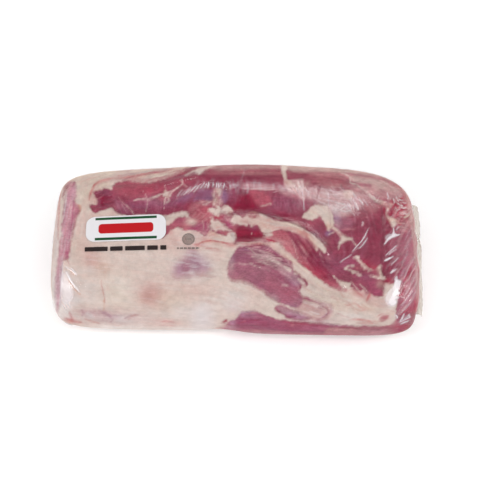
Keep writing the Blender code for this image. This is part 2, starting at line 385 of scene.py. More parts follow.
# Value noise from -1 to 1: random heights on a square grid, eased between the corners, and
# summed over octaves that halve in size and height
def cloud(x, y, seed, octaves=3):
    total, weight, size = 0.0, 1.0, 0.0
    side, shift = lattice["size"], lattice["shift"]
    for octave in range(octaves):
        draw = np.random.default_rng(seed * lattice["seedStep"] + octave)
        heights = draw.uniform(-1, 1, (side, side))
        px, py = x * 2 ** octave + shift[0] * octave, y * 2 ** octave + shift[1] * octave
        i, j = np.floor(px).astype(int), np.floor(py).astype(int)
        a, b = ease(px - i), ease(py - j)
        i, j, right, above = i % side, j % side, (i + 1) % side, (j + 1) % side
        low = heights[i, j] * (1 - a) + heights[right, j] * a
        high = heights[i, above] * (1 - a) + heights[right, above] * a
        total = total + weight * (low * (1 - b) + high * b)
        size += weight
        weight *= 0.5
    return total / size


# Noise drawn out along one direction of the picture, for fibres
def grain(u, v, degrees, long, across, seed):
    turn = math.radians(degrees)
    a = u * math.cos(turn) + v * math.sin(turn)
    b = v * math.cos(turn) - u * math.sin(turn)
    return cloud(a / long, b / across, seed, 2)


# The meat: outlines of the lean, then of the fat that lies in it, each a name and its places

leanShapes = """
cover 112,189 113,185 116,182 121,180.5 127,180 133,181 140,181.5 148,182 155,181 162,178.5 168,176
    174,174 181,171 188,167.5 196,163 240,150 330,150 390,155 440,185 440,300 430,350 195,350 207,337
    214,331 220,328.6 226,325 229.5,321.5 234,320 237.5,317.5 239.5,314 244,312 250,311.3 256,311.5
    262,314 267,316 272,318 278,320 285,320.6 290,321.8 297,322 305,322.4 313,323.4 321,323.4 330,324.8
    338,325.2 345,326 352,326.4 357,327.2 364,326.4 370,326.6 377,327 383,326.6 388,326.2 391.5,324.4
    396,320 396,313 397,305 397.6,298 397.6,289 396.6,282 392,284 386,283 384,287 383,295 380,296.5
    376,296.5 373,295 370,293 367,293.4 364,290.4 361,291 357,290.4 353,288 349,285.5 346,289.5
    342,290.5 337,289 331,287 327,284.5 321,280.5 315,276 309,271 303,266 298,261.4 294,257.6 290,253.6
    286,249.6 282,245.8 278,242.6 271,242.2 264,241.8 258,241.6 250,242.4 243,242.4 237,243.5 234,244
    235.5,239 235.5,234 234,232 230,232.5 226,235 223,235 219,233 216,231.5 212,231 208,233 205.5,236
    203,235 200,232 196,230.5 190,230.5 184,229.5 178,227 174,228.5 170,231 166,235 162,238 161,232
    162,227 167,225.5 172,222.5 176,218 180,216.3 185,216.5 189,217.5 189,214 186,211.5 182,211 178,212
    170,214 163,215 152,214.5 140,214 131,215.5 122,214 118,213 115,211.4 112.6,208.6 110.6,207.4
    108.6,208.4 105,209.4 100,211 96,212.5 92,211 90,206 92,204 95,204.5 97,202 96,198 93.5,195
    92.5,191.5 96,190 101,189 104,187.5 108,188.5
eyeMuscle 238,247 234.5,252 231.5,255 229.5,260 228,266 227.5,273 228.5,278 233,280.5 240,281.5
    246,282.5 251,285 257,288.5 263,291.5 268,296.5 273,300 279,303.5 285,305.5 291,307.5 297,308.2
    300.5,306 303,302 303,297.5 300.5,293.5 299,290 303,287.5 308,285 307,281.5 302,277.5 298,274
    294.5,272 292,268 292,264 288.5,259.5 283.5,256.5 278.5,252.5 273,248.5 268,245.5 262,244.2 254,244
    246,245
sliver 274.5,308 277,305.8 281,305.8 286,307.3 291,310 297,312 303,314.5 308,316 312,318.5 308,321
    300,321.5 292,320.5 286,319 284,316 280,314.5 276.5,312
tipSpot 221.5,323.8 224.5,321 228,320.3 227.5,322.6 225,324
endStrip 70,183 74.5,181 76.5,190 75.5,197 76,203 80,208 79,213 76,219 74,228 71,238 70,248 69,256
    66,260 62,262 61.5,280 60.5,300 58,310 55.5,312 54.5,300 54.5,285 56,268 58,252 59.5,240 61,225
    62.5,212 64,200 66,191
upperFlap 63,190 66,184 71,181 70,186 66,190 62,197
membrane 302.5,296.6 307,297.4 313,300.6 320,304 326,307.4 329.4,311 328,315.6 323,319.4 317.5,321
    320.5,318 325,314.4 326,311.6 323.6,309.4 319,308 314,306.4 309,304.4 305,302.4 302.6,300
"""

fatShapes = """
topPatch 185,175 190,171.5 195,169 199,166.5 206,165 217,164 210,167 204,169.5 200,173.5 197,172.5
    192,171.5
lumps 208.5,209.5 212,206.8 216,208.5 219,206.5 222,208 225,205.3 229,205.6 233.2,209.5 231,212
    226.5,212.2 223,211.6 220,214 217.5,216 213.5,214.6
midFat 211.5,216.5 214,217 214.5,220 217,219.5 220.5,221.3 223.3,224.3 225.5,227.2 231,230.6 227,230.6
    221,228.6 215.5,230.6 211.5,228.6 211,224
ridge 230.5,222 231,217 233.5,214.5 238,215 243,216.5 247,215 252,217.5 257,217 260,213.5 263,213.5
    267,216 271,218.5 276,220.5 281,221.5 288,221.5 293,222.5 297,224.5 300,226 304,228.5 308,231.3
    312,233.8 316,236.8 320,240.3 323,243.4 325.5,247.5 325.8,252.5 323.5,252.5 321,249.5 318.5,247.5
    317,250 314.5,247.5 313,243.5 310.5,240.5 307,238 302,235.5 298,233.5 296,232 290,230.5 284,229.5
    278,229.5 274,230.5 270,232.5 266,233 262.5,231 260,228 257.5,225 254,224.5 251.5,226 249,224
    247,226 244,224 240,224.5 237,223 234,224
ridgeFoot 264,233.5 268,232.5 272,233.5 273,235 270,236 266,235
upperBar 281.6,163 286.6,163 287,168 285.4,171.6 286.6,175 287.4,179 291,180.4 292,183.6 289,184.6
    286.6,187 284.6,183 284,178 282.4,173.6 281.4,169
triangle 302.5,216 306,212.5 310,208.5 313.5,205.5 318,204 324,205 328.5,207 331.5,212 334,220
    333.5,225.5 330,229.5 327,228.5 325,223 322,218.5 319.5,215 317.5,216.5 315,218.6 310,219 304.5,218
star 330,226 335,227.5 339,231 343,235.5 350,237.2 352.5,238.8 347,240 341.5,243.2 338.5,249 338.8,242.5
    341,238 338,233 333,229.8
cornerFat 368,193.5 375,197.6 383,201 391.6,203 392.4,205 389,206.4 384,205 378,201.6 372,197.4
cornerFatTwo 387,216.5 393,217.5 396.5,219 396,224 393,227 389.5,222
fragmentOne 344,268 347,265.6 351,264.6 353.6,265.6 350,266.6 347.4,268 351,269.6 356,272 361,275.6
    355,273.4 349,270.6
fragmentTwo 354.5,257 356.6,255 359.4,256 360,260 363,263.6 366.6,267 372,270.4 367,269.6 362,266
    359,262.4 357,259.4
fragmentThree 377.4,268 379.6,264.8 382,264 381.6,270 382.6,275 385.6,278 381,279.2 375,278 369.4,275.2
    374,275.6 379.6,276.6 379,272
fragmentFour 334,275.5 338,279.5 343,280.6 347.5,281.4 351,285 349,288.5 344,289.6 341,287 338,282.5
"""

# How far the border of fat and lean is blurred: amount, place, reach
softBorders = """
0.62 252,286 24,7 30,0
0.6 270,294 14,5 36,0
0.5 233,281 10,5
0.55 73,225 6,40
0.55 66,190 8,10
0.5 198,216 14,12
0.4 228,222 10,10
0.5 292,276 9,15 -30,0
0.45 152,178 34,5 -8,0
0.35 190,172 14,5
0.55 282,247 8,4 45,0
0.5 335,289 12,4 20,0
0.45 362,272 22,14
0.55 388,290 6,10
0.4 365,298 10,6
0.45 350,326 40,4
0.65 220,329 14,5 -20,0
0.45 250,313 12,4
0.5 382,203 14,6 25,0
0.45 391,221 8,6
0.45 345,235 12,8
0.7 316,309 18,13
0.55 300,316 12,6
0.5 250,216 16,5
0.45 306,237 10,5 40,0
0.45 215,229 12,5
0.5 222,212 8,5
0.6 296,189 8,8
0.5 243,243 12,3
"""

# Where the border is frayed: amount in pixels, place, reach
frayed = """
1.8 358,275 30,20
1.4 214,216 26,22
2.2 294,276 10,16 -30,0
1.4 250,218 18,8
1.6 316,310 14,10
1.2 66,225 8,40
"""

# Thin fat in the lean: strength, width in pixels, route
veins = """
0.5 1.2 133,200.5 138,198.5 143,198 149,198
0.55 1.5 149,198 154,196 159,194 165,193
0.5 1.6 165,193 170,191 174,189.4
0.45 1.2 174,189.4 178,187 183,182
0.5 2.4 152,197 156,196 160,195
0.45 2.2 168,197 169,200 166,202
0.7 3.2 163,195.6 166,193.2 169,193.5 170,196
0.3 1.1 148,198 147.5,203 146.5,208 146,211
0.25 1.2 164.5,184 166,189 166,192
0.3 1.5 166,196 165,200 164,204
0.55 0.9 183,182 181,180 183,178
0.5 1.6 259,205.5 264,205 270,203 271,205
0.4 1.2 125,204 129,207.5 132,211 134,215
0.7 1.3 350.5,238.4 353.5,241.5 357,246
0.55 1.6 341,172 346,173.5 350,177 351,182 357,184 362,188 368,192 374,197
0.6 1.1 351,281 355,286 359,290 362,293
0.6 1.1 359,283 363,287 366,290 368,293
0.6 1.6 388,208 387,213 388,217
0.45 1.2 246,246.5 251,249.3 255,253 259,254.8 263,254.6
0.45 1.2 251,256.2 256,256.6 261,258.3 267,259 272,258
0.45 1.1 252,247.6 258,249.8 264,251.5 270,252.4 275,255
0.45 1.3 257,261.6 263,262 268,264 273,265.3 278,266
0.55 0.9 251,264 257,266.2 262,268
0.4 0.8 238,263.5 244,264 250,263 254,262.5
0.6 2.6 271,260.5 275,261 279,263 281,266
0.4 2.2 282,285.5 285.5,285 289,286
0.8 3.4 284,266 288,268.6 291,271.5
0.75 3 298,278.5 301,281 304,284.5 302,288
0.4 1.1 266,256 272,256.4 278,258 283,257.6
0.4 1.1 262,260 267,260.4 271,262.4
0.7 1.2 225,225.6 229,228.6 233,231.6
0.55 1.2 236,242.6 246,242.4 256,242 266,242.4
0.35 1.6 214.6,189 214.4,193 214,197
0.4 1.8 217,197 215,201 213.4,206
0.4 2.2 219.4,188 219.8,192 218.6,196
0.35 1.6 221,198 220,202 219.6,205
0.3 1.4 212,192 214,195 216,196
0.6 1.8 213,203 216,205.5 219,207
0.55 1.8 217,190 219,192 220,194.6
0.5 1.4 328,234.5 331,232.5 335,232
"""

# Colours as they look through the film, 0 to 255. The pale veil, rim and end tones are painted
# sheen: the film's reflection of the lamps and the studio, put into the meat's colour. The haze
# tone is that painted sheen in places and a pinkish meat colour in others.
tones = {
    "lean": (149, 76, 93), "wine": (137, 57, 77), "deep": (132, 46, 68), "pit": (138, 36, 62),
    "red": (158, 58, 78), "rose": (166, 80, 96), "coral": (180, 92, 106), "salmon": (192, 114, 122),
    "pink": (196, 130, 138), "pale": (212, 172, 172), "silver": (198, 172, 170),
    "mauve": (168, 108, 126), "violet": (148, 86, 112), "slate": (148, 114, 148),
    "lilac": (176, 132, 154), "magenta": (172, 82, 114), "plum": (140, 62, 92),
    "dusty": (162, 96, 104), "taupe": (180, 140, 136), "brown": (146, 74, 80),
    "bright": (172, 52, 76), "endPink": (200, 150, 162), "eye": (165, 104, 121),
    "berry": (162, 92, 116), "berryPale": (190, 156, 162), "endRose": (160, 88, 105),
    "haze": (188, 134, 136), "rim": (200, 170, 163), "veil": (212, 178, 176),
    "endPale": (184, 126, 137), "bluish": (168, 130, 146), "glint": (236, 224, 230),
    "fat": (217, 198, 189), "cream": (221, 206, 188), "beige": (206, 186, 170),
    "blush": (214, 180, 172), "stain": (198, 146, 138), "deepStain": (190, 132, 126),
    "orange": (206, 152, 124), "apricot": (214, 166, 146), "cool": (222, 214, 214),
    "white": (236, 228, 226), "grey": (196, 180, 174), "bruise": (182, 144, 148),
    "streak": (204, 146, 142), "redStain": (186, 94, 98),
}


# A tone as linear light
def tone(name):
    c = np.array(tones[name]) / 255
    return np.where(c < 0.04045, c / 12.92, ((c + 0.055) / 1.055) ** 2.4)


# Rows of a drawing table, each as its words; an indented line carries on the row above
def rows(text):
    return [line.split() for line in text.strip().replace("\n    ", " ").splitlines()]


# A colour moved towards a tone by a share at each point
def towards(colour, share, name):
    return colour + share[:, None] * (tone(name) - colour)


# Rows of tone, strength, place, reach and turn: a soft spot moves the colour towards its tone
def wash(colour, u, v, text):
    for name, strength, *place in rows(text):
        colour = towards(colour, float(strength) * spot(u, v, " ".join(place)), name)
    return colour


# Rows of tone, strength, border in pixels and outline: the same inside a soft-edged outline
def fields(colour, u, v, text):
    for name, strength, border, *route in rows(text):
        inside = soft(patch(u, v, " ".join(route)), float(border))
        colour = towards(colour, float(strength) * inside, name)
    return colour


streakBorder = dict(least=1.1, share=0.8)


# Rows of tone, strength, width in pixels and route: the same along a soft line that the
# patchiness breaks up
def streaks(colour, u, v, text, patchy):
    for name, strength, width, *route in rows(text):
        width = float(width)
        border = max(streakBorder["least"], streakBorder["share"] * width)
        along = float(strength) * soft(stroke(u, v, " ".join(route), width), border)
        colour = towards(colour, np.clip(along * patchy, 0, 1), name)
    return colour


# Soft-edged areas of the lean: tone, strength, border, outline. The pale fields along the top,
# right and bottom outlines, over the sheen at the top right and on the right end are painted
# sheen: the film's reflection of the lamps and the studio.
leanFields = """
rim 0.35 5 216,158 262,158 300,158 300,168 262,168 216,170
rim 0.95 5 290,158 330,158 360,162 390,172 406,184 416,198 410,199 398,186 384,178 360,173.5 330,171.5
    290,170
haze 0.85 5 312,172 345,173 372,176 392,182 404,192 396,196 384,188 362,180 340,177 316,175
dusty 0.85 4 318,177 330,175.5 345,177 352,182 348,187 334,187 318,184
rim 0.85 4 351,175.5 362,177 376,178.5 388,182 386,185.5 372,183.5 358,182 352,180
haze 0.85 5 352,184 364,185 380,186 394,188 400,196 390,199 378,197 368,192 362,198 354,194
rim 0.55 4 372,184.5 382,183.5 396,186 402,191 394,191 384,188 376,190
haze 0.45 6 360,194 372,200 380,206 372,212 362,206
veil 0.66 7 307,189 318,188 334,191 347,190.5 356,194 362,204 356,211 346,215 334,214 326,208 318,200
    306,197
veil 0.72 3 284.6,181 290,179.6 297,178.6 303.4,178.4 304,184 307,187 306,194 304.6,200 301,198
    297,194.6 291,192.4 287,190
cream 0.25 3 288,183 294,181.6 300,183 301,188 296,190.4 290,188.6
cream 0.4 3 344,190.5 351,189.6 355,193 352,198 347,198.6 344,195
white 0.12 5 330,203 340,201 349,203 350,209 342,213 332,210
mauve 0.85 6 326,207 334,214 346,216 353,219 352,227 340,230 334,224 328,216
eye 0.95 4 238,246 231,256 227,268 228,279 246,283 264,293 282,305 298,309 304,302 301,293 299,286
    296,270 286,258 270,246 250,244
silver 0.4 6 250,247 262,250 276,255 286,262 294,270 302,279 298,284 288,276 276,268 262,262 252,256
haze 0.8 2.4 213,189 218,187 222,189 222,195 223,200 221,205 216,206.6 212,204 213,198 211.6,194
haze 0.3 3 244,214 248,211.6 254,210.6 260,212 264,214 258,217 250,217 244,216
salmon 0.8 5 266,231 274,230.5 284,231 290,238 297,250 306,262 316,273 326,281 320,281 308,271 296,261
    284,250 276,243 268,238
coral 0.85 5 250,190 262,191 270,197 272,203 264,207 257,206 252,199
salmon 0.6 6 190,205 198,203 206,206 212,211 213,222 206,226 198,222 190,214
magenta 0.6 5 184,224 192,226 200,222 208,222 208,232 202,233 194,231 186,230
magenta 0.7 5 221,216 226,214 230,218 233,226 230,229 226,225 222,221
slate 0.7 5 199,190 206,189 213,190 213,198 207,201 200,199 194,200
slate 0.6 4 220,191 225,190 228,196 226,202 222,201
pit 0.95 5 243,194.5 249,194 252,198 255,203 258.5,208 252,209 244,210 237,212.5 230.5,214 234,210
    234,206 238,200
pit 0.95 5 237,229 242,226.5 247,228 252,227.5 257,228 260,232 262,236 258,239 248,239 238,240 236.5,235
red 0.8 4 260,235 266,235.5 272,239 276,242 270,241 263,239.5
pale 0.55 4 66,184 72,182 71,192 68,202 65,214 62,228 59,244 57,262 55,290 55,308 57,308 59,280 60,262
    64,240 68,220 70,200
endPink 0.9 5 66,190 75,186 76,200 78,210 74,224 70,242 68,256 62,262 60,290 58,306 55,300 56,276
    59,250 62,225 64,205
endRose 0.85 7 392,232 410,224 418,240 421,280 420,330 398,330 396,312 399,296 403,284 398,262 390,252
endPale 0.15 8 404,282 412,262 417,240 421,270 421,300 410,308 401,322 398,312 400,298
endPale 0.5 4 412,212 417,214 420,250 420,300 417,300 416,250
haze 0.8 5 386,196 396,192 406,194 413,206 414,222 408,232 398,228 394,216 392,204
berry 0.9 5 229,321 238,315 256,313 270,318 290,323 320,326 345,329 380,331 392,329 400,345 220,345
haze 0.75 2.4 330,328.4 345,329 360,329.4 380,328.6 396,328 404,327 408,331 400,336 340,336 325,334
rim 0.6 2.6 408,206 414,209 417,230 420,260 420,300 417,312 416.4,290 415,262 413,238 410.4,220
haze 0.7 3 195,331 215,329 228,330 260,331 300,333.4 340,333.6 400,332 410,332 410,345 195,345
berryPale 0.65 3 276,307 283,307 291,311 297,313 303,315 300,316.6 294,315.4 288,315 282,313.6
cream 0.45 3 304,300 312,302 320,306 326,309 327,313 321,318 313,317 307,313 304,307
berryPale 0.6 3 195,332.6 260,333 300,335.6 340,336 400,334 410,334 410,345 195,345
"""

# Soft spots over those areas: tone, strength, place, reach, and a turn for some. The pale, white,
# cool and veil spots at the left outline, in the band under the top outline, in the sheen at the
# top right and along the right and bottom outlines are painted sheen and highlights.
leanSpots = """
pink 0.8 206,203 5,2.5 -10,0
bright 0.45 205,209 5,3
salmon 0.6 218,217 5,2.5
bright 0.8 218,217.2 3.5,1.3
salmon 0.7 226,232.5 5,2.5
wine 0.5 226,229 3,2
deep 0.8 257,208 4,1.6
deep 0.9 233,213.5 4,1.5
bright 0.35 243,232 5,3
bright 0.35 257,235 5,3
deep 0.5 243,227.5 5,2
violet 0.45 254,228 4,2.5
deep 0.5 324.5,240 2,8 -10,0
rose 0.6 283,233 7,4 30,0
bright 0.6 322,274 8,4 45,0
pit 0.6 325.5,276.5 2.5,2
slate 0.9 337,217 4,7
slate 0.9 328.5,232.5 4,2.5 -30,0
taupe 0.7 380,284 4,4
bright 0.8 388,281 5,3
bright 0.8 400,200 5,3.5
rim 0.8 410,206 2.5,12 -12,0
coral 0.6 400,222 5,4
bright 0.6 409,277 3,6 20,0
bright 0.8 416,306 2.6,10
bright 0.8 409,311 6,4 -40,0
pink 0.5 412,262 5,20
pink 0.5 409,295 6,12
bright 0.8 401,328 9,4 -10,0
bright 0.3 402,190 8,3 45,0
violet 0.5 240,256 9,6
violet 0.35 262,249 12,3
rose 0.3 270,283 9,8
rose 0.35 289,294 9,9
violet 0.45 292,277 7,9 -35,0
slate 0.35 232,259 3,6
haze 0.4 238,279 10,3
lilac 0.4 292,306 8,2.5 10,0
lilac 0.7 296,283 5,3
endPink 0.8 74,190 6,10
magenta 0.7 66,254 4,4
pink 0.6 76,207 3,10 12,0
magenta 0.35 74,217 2.5,9 14,0
rose 0.6 65,188 4,5 35,0
apricot 0.6 80,206.5 1.8,3
blush 0.75 219,328 8,4
pink 0.5 226,325 3,3
plum 0.7 244,322 9,4
lilac 0.8 232,324 3.5,4
lilac 0.7 246,313.5 8,1.8
rose 0.6 296,326 12,3
red 0.5 376,329.5 26,1.6
cream 0.55 219,190 3,3
cream 0.5 216,200 3,3
blush 0.6 213.6,194 2,3
blush 0.5 221,202 2.5,3
bright 0.7 396,203 6,4
bright 0.7 405,206 5,4
bright 0.5 398,212 5,3
pale 0.5 410,209 3,5
rose 0.5 202,209 6,3
cool 0.55 57,296 3,20
cool 0.4 60,283 3,10
wine 0.6 401,233 5,4
wine 0.7 239.6,183 2.4,5
wine 0.6 205,180.6 14,3 -14,0
wine 0.6 217,181 10,2.6
salmon 0.8 185,226 5,4
pink 0.6 391,325.6 6,2.4
lilac 0.7 241,316 5,2.4
lilac 0.6 230,329 6,1.6
berryPale 0.7 275,298 5,3 40,0
deep 0.5 411,272 2.5,7 25,0
wine 0.5 408,285 3,6 25,0
haze 0.5 369,193 6,4
brown 0.5 258,244 8,2
pale 0.6 282,189.4 4,2.2
deep 0.5 412,273 2.4,6 25,0
pit 0.4 396,203 5,4
pale 0.6 340,214 6,3
pink 0.5 395,322 3,4
rose 0.5 306,227 5,3
salmon 0.6 305,247 6,3.4 45,0
lilac 0.6 249,314 8,2
wine 0.5 191,206 4,4
pale 0.8 191,221.6 5.4,3.4
coral 0.6 140,184 11,3
coral 0.45 134,195 9,4
wine 0.5 156,208 9,4
wine 0.4 138,203 8,3
coral 0.4 173,178 6,3
pit 0.5 398,203 5,5
deep 0.5 400,231 5,6
deep 0.35 402,221 6,5
deep 0.3 398,197 6,4
pale 0.6 392,324 4,2.4
bluish 0.45 372,331 20,3
plum 0.4 398,331 8,3
pale 0.4 62,241 3,9
bright 0.6 389,211 3.6,4
deep 0.3 409,272 3,10
pale 0.6 263,239.6 8,2.2
pale 0.5 281,241.4 8,2.2 15,0
silver 0.5 231,265 3.4,8
pale 0.5 65,258 4,6
pale 0.5 324,243 4,4
pale 0.5 287,193 7,2.4 20,0
pale 0.45 337,223 4,5
pale 0.45 334,209 6,4
pale 0.4 230,329 6,3
cool 0.6 57,306 3.6,9
cream 0.55 191.4,221.4 4.6,3
deep 0.4 390,254 4,2
deep 0.35 399,240 5,4
rim 0.5 245,166 42,2.2
taupe 0.4 332,186 8,3
haze 0.5 366,196 8,5
haze 0.35 350,206 4,3
coral 0.3 356,216 9,4
pale 0.5 321,322 5,2.4
pale 0.6 204,233 3.4,3
wine 0.5 122,205 5,3
pale 0.5 344,213 5,2.6
lilac 0.5 240,317 4,3
deep 0.3 399,269 3,5
red 0.45 251,201 5,6
pit 0.6 248,208.6 11,3.4
red 0.5 237,208 5,3
rim 0.6 228.6,215 3.4,2
deep 0.6 233,212 3,2
haze 0.6 252,172.4 36,1.9
violet 0.45 211,192 3,5
mauve 0.45 221,200 3,5
salmon 0.6 374,269 4,2.4 40,0
white 0.5 335,209 5,4
rose 0.5 390,284 4,3
rim 0.4 352,330 26,2
lilac 0.5 249,314 5,2.4
deep 0.85 402.8,291 3,7
salmon 0.5 184,227 4,3
pit 0.45 286,214.6 11,2.6 12,0
silver 0.5 326.5,317.4 3.6,2
blush 0.8 297,223.6 4,1.6 25,0
blush 0.6 279,218.8 4,1.4 18,0
taupe 0.6 382,284 3,3
wine 0.4 204,193 7,5
deep 0.5 402,271 3,6
salmon 0.5 381,205 4,2.2 20,0
salmon 0.45 118,187 5,3
salmon 0.35 352,200 6,7
pink 0.4 296,196 4,4
silver 0.5 320,203 6,1.6
salmon 0.6 162,197.6 4,4
salmon 0.5 221,220 4,3
rose 0.5 225,322 4,3
violet 0.3 262,286 16,4 36,0
wine 0.35 199,195 5,5
pale 0.45 203,201.6 6,1.2 -10,0
lilac 0.5 289,314.6 6,2.4 15,0
salmon 0.45 358,267.6 4,2
salmon 0.4 110,207 3,2
veil 0.5 57.5,309 2,5
rim 0.45 307,183 3,3
"""

# Soft-edged areas of the fat
fatFields = """
beige 0.5 8 80,184 96,180 116,174 140,170 170,166 196,160 196,150 60,150 60,184
taupe 0.75 5 114,177 126,173.5 140,170.5 160,167.5 184,165 204,164 206,166.4 192,170 180,173.6
    168,177.4 154,181.4 140,181.6 126,180.6
taupe 0.35 5 94,184 104,178 118,174 122,178 112,182 104,187 97,190
rose 0.65 2.6 379,319.6 382,316.8 386,316 389,315.4 388,319 384.6,322 381,322.6
haze 0.55 4 298,297 306,297 316,301 327,306 333,311 329,319 318,322 306,318 296,311
haze 0.4 4 366,299 376,297.6 386,299.6 391,304.6 384,308 374,306.6 367,304
"""

# Soft spots that lie under those areas of the lean, in the same words
leanWashes = """
rose 0.9 128,190 16,8
rose 0.9 150,187 18,7
dusty 0.5 122,184 10,4
bright 0.3 147,188 9,6
bright 0.25 160,183 8,4
coral 0.35 134,187 10,3
dusty 0.7 191,176 6,4
dusty 0.5 181,186 8,4
red 0.5 184,180 8,4 -20,0
wine 0.8 215,177 26,5
wine 0.9 250,177 30,4.5
wine 0.5 275,178 12,5
dusty 0.5 225,170 40,3
dusty 0.5 262,170 24,3
dusty 0.5 310,178 30,8
violet 0.8 140,205 18,6
violet 0.8 160,204 16,7
violet 0.6 185,200 14,7 -14,0
plum 0.5 181,204 6,4
mauve 0.5 150,201 10,4
wine 0.6 178,207 12,4 -10,0
wine 0.6 135,211 14,3
wine 0.7 170,211 16,3 -6,0
red 0.8 190,206 4,3 -35,0
pit 0.6 197.5,202.5 2.5,2.5
wine 0.5 199,193 8,3
slate 0.5 186,197 10,2.5 -28,0
violet 0.6 232,194 5,9
wine 0.5 236,192 5,8
wine 0.9 229,202 7,5
wine 0.9 103,196 9,8
violet 0.35 106,192 6,4
pit 0.5 103,201 3,6
violet 0.6 124,209 8,5 45,0
wine 0.4 122,199 8,3
rose 0.5 93,207 4,4
coral 0.7 202,213 8,7
coral 0.7 183,221 10,4 -20,0
magenta 0.6 180,222 8,5 -20,0
salmon 0.5 172,228 10,5 -35,0
salmon 0.6 234,229 3,4
rose 0.6 266,193 12,4
violet 0.5 285,202 20,10
wine 0.8 282,216 16,3.5 10,0
deep 0.7 286,217 8,2.5
rose 0.5 296,219 5,3
brown 0.7 246,241 10,1.6
wine 0.5 237,241 3,3
wine 0.5 322,240 6,8 45,0
rose 0.5 312,224 8,6
wine 0.4 305,226 10,4 40,0
violet 0.35 318,232 8,5 40,0
deep 0.7 311,251 12,5 52,0
deep 0.7 318,266 12,6 50,0
bright 0.5 312,267 9,3 45,0
coral 0.8 331,283 7,3 25,0
pink 0.6 340,288 8,3 10,0
wine 0.6 345,247 12,8
wine 0.6 375,255 14,10
wine 0.6 362,232 12,10
deep 0.5 380,225 7,14
deep 0.5 388,212 4,6
deep 0.5 375,238 8,8
rose 0.5 372,212 8,6
wine 0.4 372,222 9,4
violet 0.4 325,258 10,8
violet 0.5 340,266 14,8
magenta 0.4 351,261 6,4
violet 0.35 340,240 6,4
magenta 0.4 372,284 8,6
magenta 0.5 377,291 5,5
violet 0.5 365,277 10,4
bright 0.5 368,264 8,4 30,0
wine 0.5 388,276 6,8
wine 0.5 387,262 5,8
deep 0.4 388,232 3,10
lilac 0.7 246,313 8,2
blush 0.8 220,327 9,4
lilac 0.5 332,325 10,2
lilac 0.4 350,327 12,2
magenta 0.9 281,309 7,3
magenta 0.6 290,317.5 4,1.5
lilac 0.9 300,317 9,4
silver 0.9 314,309 12,8
"""
